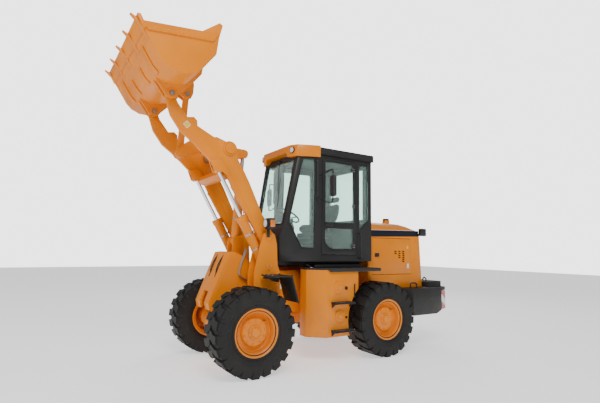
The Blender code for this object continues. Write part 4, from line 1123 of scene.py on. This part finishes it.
def buildCounterweight():
    softened("counterweight", "grey", 0.012)
    handles = Shape()
    for side in (-1, 1):
        x = side * 0.700
        handles.tube(smoothPath([(x, 1.80, 0.938), (x, 1.80, 1.000), (x, 1.825, 1.022), (x, 1.915, 1.022),
                                 (x, 1.94, 1.000), (x, 1.94, 0.938)], 6), 0.011, 12)
    makePiece("counterweightHandles", handles, "grey", "rear_body")
    # dark blocks under the cab stand for the cab mounts and also paint the shade in the gap below the cab; a hose runs
    # along them
    under = Shape().block((-0.40, -0.09, 1.284), (0.40, 0.98, 1.366), 0.010)
    under.block((-0.56, 0.02, 1.284), (-0.42, 0.90, 1.330), 0.010).block((0.42, 0.02, 1.284), (0.56, 0.90, 1.330),
                                                                         0.010)
    under.tube(smoothPath([(0.57, -0.08, 1.31), (0.50, -0.085, 1.33), (0.44, 0.10, 1.345), (0.46, 0.50, 1.350),
                           (0.44, 0.90, 1.34)], 6), 0.012, 8)
    makePiece("cabUnderside", under, "casting", "rear_body")
    panels = Shape()
    for side in (-1, 1):
        a, b = Vector((side * 0.792, 2.434, 0)), Vector((side * 0.6985, 2.641, 0))
        out = Vector((side * 0.915, 0.403, 0)).normalized()
        loops = []
        for lift in (0.0012, 0.0030):
            corners = [a + out * lift, b + out * lift]
            loops.append([(*corners[0].xy, 0.580), (*corners[1].xy, 0.580), (*corners[1].xy, 0.890),
                          (*corners[0].xy, 0.890)])
        panels.rings(loops)
    makePiece("hazardPanels", panels, "hazard", "rear_body")
    eyes = Shape()
    for x in (-0.42, 0.42):
        eyes.tube(smoothPath([(x - 0.035, 2.45, 1.028), (x - 0.035, 2.45, 1.055), (x, 2.45, 1.085),
                              (x + 0.035, 2.45, 1.055), (x + 0.035, 2.45, 1.028)], 6), 0.011, 10)
    makePiece("liftingEyes", eyes, "grey", "rear_body")
    tow = Shape().rod((0, 2.56, 1.0305), (0, 2.56, 1.060), 0.022, 24)
    tow.tube(smoothPath([(-0.03, 2.56, 1.058), (-0.03, 2.56, 1.085), (0, 2.56, 1.100), (0.03, 2.56, 1.085),
                         (0.03, 2.56, 1.058)], 6), 0.006, 8)
    makePiece("towPin", tow, "steel", "rear_body")
    spots = [((x, 2.38, 1.0305), (0, 0, 1), 0.3) for x in (-0.55, -0.25, 0.25, 0.55)]
    repeatPiece("counterweightBolts", boltHead(0.017, 0.012), spots, "zinc", "rear_body")


sides = {"treads": (0.442, 0.822), "steps": (0.420, 0.800), "tank": 0.8005, "lids": ((0.26, 1.02), (0.28, 0.62)),
         "plugs": ((0.395, 1.005, 0.026), (0.395, 0.60, 0.018)), "beads": (0.602, 0.938), "fender": 1.2125}


def buildSides():
    for side, word, node in ((1, "left", "platform_left"), (-1, "right", "platform_right")):
        softened(node, "grey", 0.002)
        plan = [(0.455, -0.146), (0.597, -0.146), (0.818, 0.097), (0.818, 1.03), (0.640, 1.03), (0.640, 0.0),
                (0.455, 0.0)]
        tread = Shape().plate([(side * x, y) for x, y in plan], 1.2812, 1.2830, "z")
        for z in sides["treads"]:
            tread.sideBlock(side, (0.795, 0.130, z + 0.0005), (0.924, 0.450, z + 0.0025), 0.0005)
        makePiece(f"treadPlates.{word}", tread, "chequer", "rear_body")
        edging = Shape()
        for z in sides["steps"]:
            edging.tube([(side * 0.9305, 0.122 + 0.0336 * k, z + 0.011) for k in range(11)], 0.0085, 8)
        makePiece(f"stepEdges.{word}", edging, "seal", "rear_body")
        spots = [(p, w, a) for y, z in sides["lids"] for p, w,
                 a in circleSpots((side * 0.8122, y, z), (side, 0, 0), 0.068, 5, 0.4)]
        spots += [((side * sides["tank"], y, z), (side, 0, 0), 0.3) for y,
                  z in ((0.10, 0.42), (0.55, 0.42), (0.10, 1.20), (0.55, 1.20))]
        repeatPiece(f"tankBolts.{word}", boltHead(0.008, 0.006), spots, "yellow", "rear_body")
        plug = Shape()
        for y, z, r in sides["plugs"]:
            plug.lathe([(0.0, 0.0), (0.0, r), (0.006, r), (0.008, r * 0.9), (0.008, r * 0.55), (0.015, r * 0.50),
                        (0.016, 0.0)],
                       (side * 0.8004, y, z), (side, 0, 0), 28)
        makePiece(f"tankPlugs.{word}", plug, "seal", "rear_body")
        lids = Shape()
        for y, z in sides["lids"]:
            lids.lathe([(0.0, 0.044), (0.004, 0.042), (0.005, 0.034), (0.001, 0.030), (0.001, 0.0), (0.0, 0.0)],
                       (side * 0.8124, y, z), (side, 0, 0), 36)
        makePiece(f"tankLids.{word}", lids, "yellow", "rear_body")
        gauge = Shape().sideBlock(side, (sides["tank"], 0.535, 0.86), (0.806, 0.560, 1.06), 0.002)
        makePiece(f"sightGauge.{word}", gauge, "seal", "rear_body")
        guard = "front_fender_" + word
        softened(guard, "grey", 0.003)
        edge = Shape()
        profile = [(-0.86, 1.201), (-0.60, 1.201), (-0.592, 1.19), (-0.497, 0.885), (-0.497, 0.868)]
        for x in sides["beads"]:
            edge.tube(smoothPath([(side * x, y, z) for y, z in profile], 4), 0.0095, 8)
        makePiece(f"fenderBead.{word}", edge, "grey", "front_body")
        spots = [((side * (0.66 + 0.11 * k), -0.845, sides["fender"]), (0, 0, 1), 0.3) for k in range(3)]
        spots.append(((side * 0.63, -0.755, sides["fender"]), (0, 0, 1), 0.3))
        repeatPiece(f"fenderBolts.{word}", boltHead(0.009, 0.006), spots, "zinc", "front_body")


buildHouse()
buildCounterweight()
buildSides()
print("rear outside finished")


# axles: bolts

axle = {"circle": 0.05, "bolts": 6, "height": 0.5375}
for end, away, body in (("front", -1, "front_body"), ("rear", 1, "rear_body")):
    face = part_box(end + "_axle")[away > 0][1]
    spots = circleSpots((0, face, axle["height"]), (0, away, 0), axle["circle"], axle["bolts"])
    repeatPiece(end + "AxleBolts", boltHead(0.009, 0.007), spots, "yellow", body)
print("axles finished")


# cab inside: steering wheel, console, levers, pedals and seat

inside = {"hub": Vector((0, -0.112, 2.060)), "axis": Vector((0, 0.52, 0.854)).normalized(), "radius": 0.186,
          "grip": 0.0125}


def buildSteeringWheel():
    hub, axis = inside["hub"], inside["axis"]
    along, side, other = frameOf(axis)
    def spot(r, a, rise):
        return hub + (side * cos(a) + other * sin(a)) * r + along * rise
    rim = Shape().tube([spot(inside["radius"], 2 * pi * k / 64, 0.0) for k in range(64)], inside["grip"], 14, True)
    makePiece("steeringRim", rim, "plastic", "rear_body", ("steering_wheel",))
    spokes = Shape()
    for k in range(3):
        a = pi / 2 + 2 * pi * k / 3
        spokes.tube(smoothPath([spot(0.030, a, -0.030), spot(0.080, a, -0.032), spot(0.150, a, -0.012),
                                spot(0.182, a, 0.0)], 5), 0.0085, 10)
    profile = [(-0.16, 0.0), (-0.16, 0.022), (-0.060, 0.022), (-0.052, 0.034), (-0.040, 0.040), (-0.018, 0.040),
               (-0.008, 0.034), (-0.004, 0.020), (-0.004, 0.0)]
    spokes.lathe(profile, hub, axis, 32)
    spokes.rod(spot(inside["radius"], 2.2, 0.012), spot(inside["radius"], 2.2, 0.050), 0.017, 20, 0.4)
    makePiece("steeringHub", spokes, "plastic", "rear_body")


controls = {"dials": (-0.13, 0.0, 0.13), "tilt": (0, 0.35, 0.94), "foot": 1.42, "pedals": (-0.13, 0.10, 0.22),
            "levers": ((-0.33, 0.03), (-0.39, 0.02), (0.29, 0.0)), "matRibs": 26}


def buildControls():
    softened("dash_console", "plastic", 0.012)
    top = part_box("dash_console")[1][2] - 0.004
    panel = Shape()
    for x in controls["dials"]:
        panel.lathe([(0.0, 0.0), (0.0, 0.036), (0.006, 0.036), (0.008, 0.032), (0.004, 0.030), (0.003, 0.0)],
                    (x, -0.20, top), controls["tilt"], 28)
    makePiece("dashDials", panel, "seal", "rear_body")
    faces = Shape()
    for x in controls["dials"]:
        middle = Vector((x, -0.20, top)) + Vector(controls["tilt"]).normalized() * 0.005
        faces.lathe([(0.0, 0.0), (0.0, 0.029), (0.001, 0.029), (0.001, 0.0)], middle, controls["tilt"], 24)
    makePiece("dialFaces", faces, "pale", "rear_body")
    levers = Shape()
    for x, lean in controls["levers"]:
        foot = controls["foot"]
        levers.tube(smoothPath([(x, 0.10, foot), (x, 0.11, 1.75), (x + lean, 0.14, 2.00)], 6), 0.008, 10)
        levers.lathe([(0.0, 0.0), (0.004, 0.018), (0.02, 0.024), (0.04, 0.020), (0.052, 0.010), (0.055, 0.0)],
                     (x + lean, 0.14, 1.99), (0, 0.1, 1), 20)
        levers.lathe([(0.0, 0.0), (0.0, 0.045), (0.02, 0.040), (0.03, 0.030), (0.05, 0.028), (0.06, 0.018),
                      (0.09, 0.014), (0.10, 0.0)], (x, 0.10, foot - 0.005), (0, 0, 1), 20)
    makePiece("levers", levers, "plastic", "rear_body")
    pedals = Shape()
    for x in controls["pedals"]:
        pedals.tube([(x, -0.06, 1.44), (x, -0.085, 1.47), (x, -0.095, 1.52)], 0.008, 8)
        pedals.block((x - 0.035, -0.062, 1.475), (x + 0.035, -0.050, 1.555), 0.003,
                     Matrix.Rotation(radians(-35), 4, "X"))
    makePiece("pedals", pedals, "seal", "rear_body")
    mat = Shape().block((-0.54, -0.02, 1.4195), (0.54, 0.60, 1.425), 0.002)
    for k in range(controls["matRibs"]):
        mat.block((-0.52 + 0.04 * k, 0.0, 1.4245), (-0.505 + 0.04 * k, 0.58, 1.427), 0.0008)
    makePiece("floorMat", mat, "mat", "rear_body")


pads = {"voxel": 0.010, "pressure": 4.0, "frames": 20, "edge": 0.035, "foot": (0.610, 1.905), "lean": (0.18, 0.50)}


# Air pressure fills a closed cover, then the form is smoothed.
def swell(piece, furthest):
    layer = piece.modifiers.new("even", "REMESH")
    layer.mode, layer.voxel_size = "VOXEL", pads["voxel"]
    applyModifiers(piece)
    rest = [v.co.copy() for v in piece.data.vertices]
    cover = piece.modifiers.new("cover", "CLOTH")
    cover.settings.use_pressure = True
    cover.settings.uniform_pressure_force = pads["pressure"]
    cover.settings.effector_weights.gravity = 0.0
    cover.settings.quality = 5
    cover.point_cache.frame_start, cover.point_cache.frame_end = 1, pads["frames"]
    for step in range(1, pads["frames"] + 1):
        bpy.context.scene.frame_set(step)
    applyModifiers(piece)
    for vert, start in zip(piece.data.vertices, rest):
        moved = vert.co - start
        if moved.length > furthest:
            vert.co = start + moved.normalized() * furthest
    bpy.context.scene.frame_set(1)
    layer = piece.modifiers.new("fine", "SUBSURF")
    layer.levels = layer.render_levels = 1
    applyModifiers(piece)
    tidyMesh(piece.data)


# A closed rounded slab; along holds (centre, up, thickness, half width) from end to end.
def padShape(along):
    loops = []
    for (y, z), (uy, uz), thick, wide in along:
        corner = min(pads["edge"], thick * 0.48)
        ring = []
        for cx, cn, first in ((1, 1, 0), (-1, 1, pi / 2), (-1, -1, pi), (1, -1, 3 * pi / 2)):
            for k in range(5):
                a = first + pi / 8 * k
                u = cx * (wide - corner) + corner * cos(a)
                n = cn * (thick / 2 - corner) + corner * sin(a)
                ring.append((u, y + uy * n, z + uz * n))
        loops.append(ring)
    return Shape().rings(loops)


def makePad(name, along, furthest, replaced=()):
    shape = padShape(along)
    mesh = bpy.data.meshes.new(name)
    mesh.from_pydata(shape.points, [], shape.faces)
    tidyMesh(mesh)
    piece = link(name, mesh)
    swell(piece, furthest)
    settle(piece, "cloth", "rear_body", replaced, 60)
    return piece


def buildSeat():
    up = (0.035, 0.999)
    cushion = [((0.185, 1.866), up, 0.030, 0.185), ((0.195, 1.866), up, 0.078, 0.200),
               ((0.25, 1.865), up, 0.096, 0.208),
               ((0.40, 1.858), up, 0.094, 0.208), ((0.52, 1.850), up, 0.092, 0.200),
               ((0.560, 1.848), up, 0.060, 0.188)]
    makePad("seatCushion", cushion, 0.022, ("seat",))
    lean = Vector(pads["lean"]).normalized()
    normal = (lean.y, -lean.x)

    def behind(t):  # a point t along the seat's back
        return pads["foot"][0] + lean.x * t, pads["foot"][1] + lean.y * t

    back = [(behind(t), normal, thick, wide) for t, thick, wide in (
        (0.0, 0.045, 0.165), (0.02, 0.075, 0.185), (0.15, 0.090, 0.205), (0.28, 0.086, 0.205), (0.38, 0.076, 0.185),
        (0.405, 0.045, 0.160))]
    makePad("seatBack", back, 0.022)
    head = [(behind(t), normal, thick, wide) for t, thick, wide in (
        (0.44, 0.040, 0.105), (0.45, 0.062, 0.120), (0.49, 0.066, 0.125), (0.515, 0.055, 0.115),
        (0.525, 0.036, 0.100))]
    makePad("seatHead", head, 0.010)
    seams = Shape()
    for side in (-1, 1):
        seams.tube([(side * 0.120, 0.215 + 0.034 * k, 1.9235 - 0.0012 * k) for k in range(10)], 0.0035, 6)
    makePiece("seatSeams", seams, "seal", "rear_body")
    posts = Shape()
    for x in (-0.055, 0.055):
        posts.rod((x, *behind(0.385)), (x, *behind(0.455)), 0.006, 12)
    makePiece("seatPosts", posts, "chrome", "rear_body")
    low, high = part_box("seat_base")
    skirt = []
    for k in range(13):
        z = low[2] + (high[2] - low[2]) * k / 12
        out = 0.006 if k % 2 else -0.004
        skirt.append([(x + (out if x > 0 else -out), y + (out if y > (low[1] + high[1]) / 2 else -out), z)
                      for x, y in ((low[0] + 0.012, low[1] + 0.012), (high[0] - 0.012, low[1] + 0.012),
                                   (high[0] - 0.012, high[1] - 0.012), (low[0] + 0.012, high[1] - 0.012))])
    makePiece("seatBellows", Shape().rings(skirt), "seal", "rear_body", ("seat_base",), angle=20)
    belt = Shape()
    for side in (-1, 1):
        belt.block((side * 0.225 - 0.010, 0.535, 1.835), (side * 0.225 + 0.010, 0.575, 1.905), 0.004)
    makePiece("beltStalks", belt, "seal", "rear_body")


buildSteeringWheel()
buildControls()
buildSeat()
print("cab inside finished")


# what is kept from the CAD parts, with its finish

kept = {
    "yellow": ("bell_crank", "boom", "engine_door_left", "engine_door_right", "front_axle", "front_frame", "hood",
               "lift_barrel_left", "lift_barrel_right", "rear_axle", "rear_frame", "roof_visor", "tie_link",
               "tilt_barrel"),
    "tank": ("fuel_tank", "hydraulic_tank"),
    "grey": ("cab_door", "cab_roof", "cab_shell"),
}
for finish, names in kept.items():
    for node in names:
        softened(node, finish)
plain = {
    "glass": ("back_glass_left", "back_glass_right", "door_glass_lower", "door_glass_upper", "quarter_glass_left",
              "quarter_glass_right", "rear_window", "side_window_right", "windscreen"),
    "steel": ("bucket_pin_left", "bucket_pin_right", "crank_shaft", "link_pin"),
    "chrome": ("lift_rod_left", "lift_rod_right", "tilt_rod"),
    "casting": ("engine_block",), "core": ("radiator",),
}
for finish, names in plain.items():
    for node in names:
        part = frame["nodes"][node]
        part.data.materials.clear()
        part.data.materials.append(finishes[finish])


# studio: floor, lights and camera

studio = {"floor": 60.0, "spot": (5.597, -3.455, 1.550), "look": (-0.8386, 0.5333, 0.1111), "roll": 0.014,
          "lens": 25.39,
          "sky": 0.42, "seen": 3.2, "key": 520, "front": 200, "rim": 240, "lamp": 4.0}


def areaLight(name, place, target, size, power):
    data = bpy.data.lights.new(name, "AREA")
    data.energy, data.size = power, size
    lamp = bpy.data.objects.new(name, data)
    lamp.location = place
    lamp.rotation_mode = "QUATERNION"
    lamp.rotation_quaternion = (Vector(target) - Vector(place)).to_track_quat("-Z", "Y")
    bpy.context.scene.collection.objects.link(lamp)


half = studio["floor"] / 2
floorMesh = bpy.data.meshes.new("studioFloor")
floorMesh.from_pydata([(-half, -half, 0), (half, -half, 0), (half, half, 0), (-half, half, 0)], [], [(0, 1, 2, 3)])
floorMesh.materials.append(floorFinish())
floor = link("studioFloor", floorMesh)

world = bpy.data.worlds.new("studioSky")
bpy.context.scene.world = world
world.use_nodes = True
sky = world.node_tree
soft, seen = sky.nodes["Background"], sky.nodes.new("ShaderNodeBackground")
soft.inputs["Color"].default_value = (0.95, 0.97, 1.0, 1)
soft.inputs["Strength"].default_value = studio["sky"]
seen.inputs["Color"].default_value = (1, 1, 1, 1)
seen.inputs["Strength"].default_value = studio["seen"]
choice, ray = sky.nodes.new("ShaderNodeMixShader"), sky.nodes.new("ShaderNodeLightPath")
direct, passed, through = (sky.nodes.new("ShaderNodeMath") for k in range(3))
direct.operation, passed.operation, through.operation = "LESS_THAN", "MULTIPLY", "MAXIMUM"
direct.inputs[1].default_value = 0.5
sky.links.new(ray.outputs["Diffuse Depth"], direct.inputs[0])
sky.links.new(direct.outputs[0], passed.inputs[0])
sky.links.new(ray.outputs["Is Transmission Ray"], passed.inputs[1])
sky.links.new(ray.outputs["Is Camera Ray"], through.inputs[0])
sky.links.new(passed.outputs[0], through.inputs[1])
sky.links.new(through.outputs[0], choice.inputs[0])
sky.links.new(soft.outputs[0], choice.inputs[1])
sky.links.new(seen.outputs[0], choice.inputs[2])
sky.links.new(choice.outputs[0], sky.nodes["World Output"].inputs["Surface"])
areaLight("keyLight", (7.0, -3.0, 8.5), (0, 0, 1.4), studio["lamp"], studio["key"])
areaLight("frontLight", (1.5, -9.0, 6.0), (0, 0, 1.5), studio["lamp"], studio["front"])
areaLight("rimLight", (-6.0, 6.0, 6.5), (0, 0, 1.6), studio["lamp"], studio["rim"])

look = Vector(studio["look"]).normalized()
right = look.cross(Vector((0, 0, 1))).normalized()
up = right.cross(look)
c, s = cos(studio["roll"]), sin(studio["roll"])
across, upward = right * c + up * s, up * c - right * s
camera = bpy.data.objects.new("camera", bpy.data.cameras.new("camera"))
camera.data.lens, camera.data.sensor_width = studio["lens"], 36.0
camera.matrix_world = Matrix.Translation(studio["spot"]) @ Matrix((across, upward, -look)).transposed().to_4x4()
bpy.context.scene.collection.objects.link(camera)
bpy.context.scene.camera = camera
print("studio set")
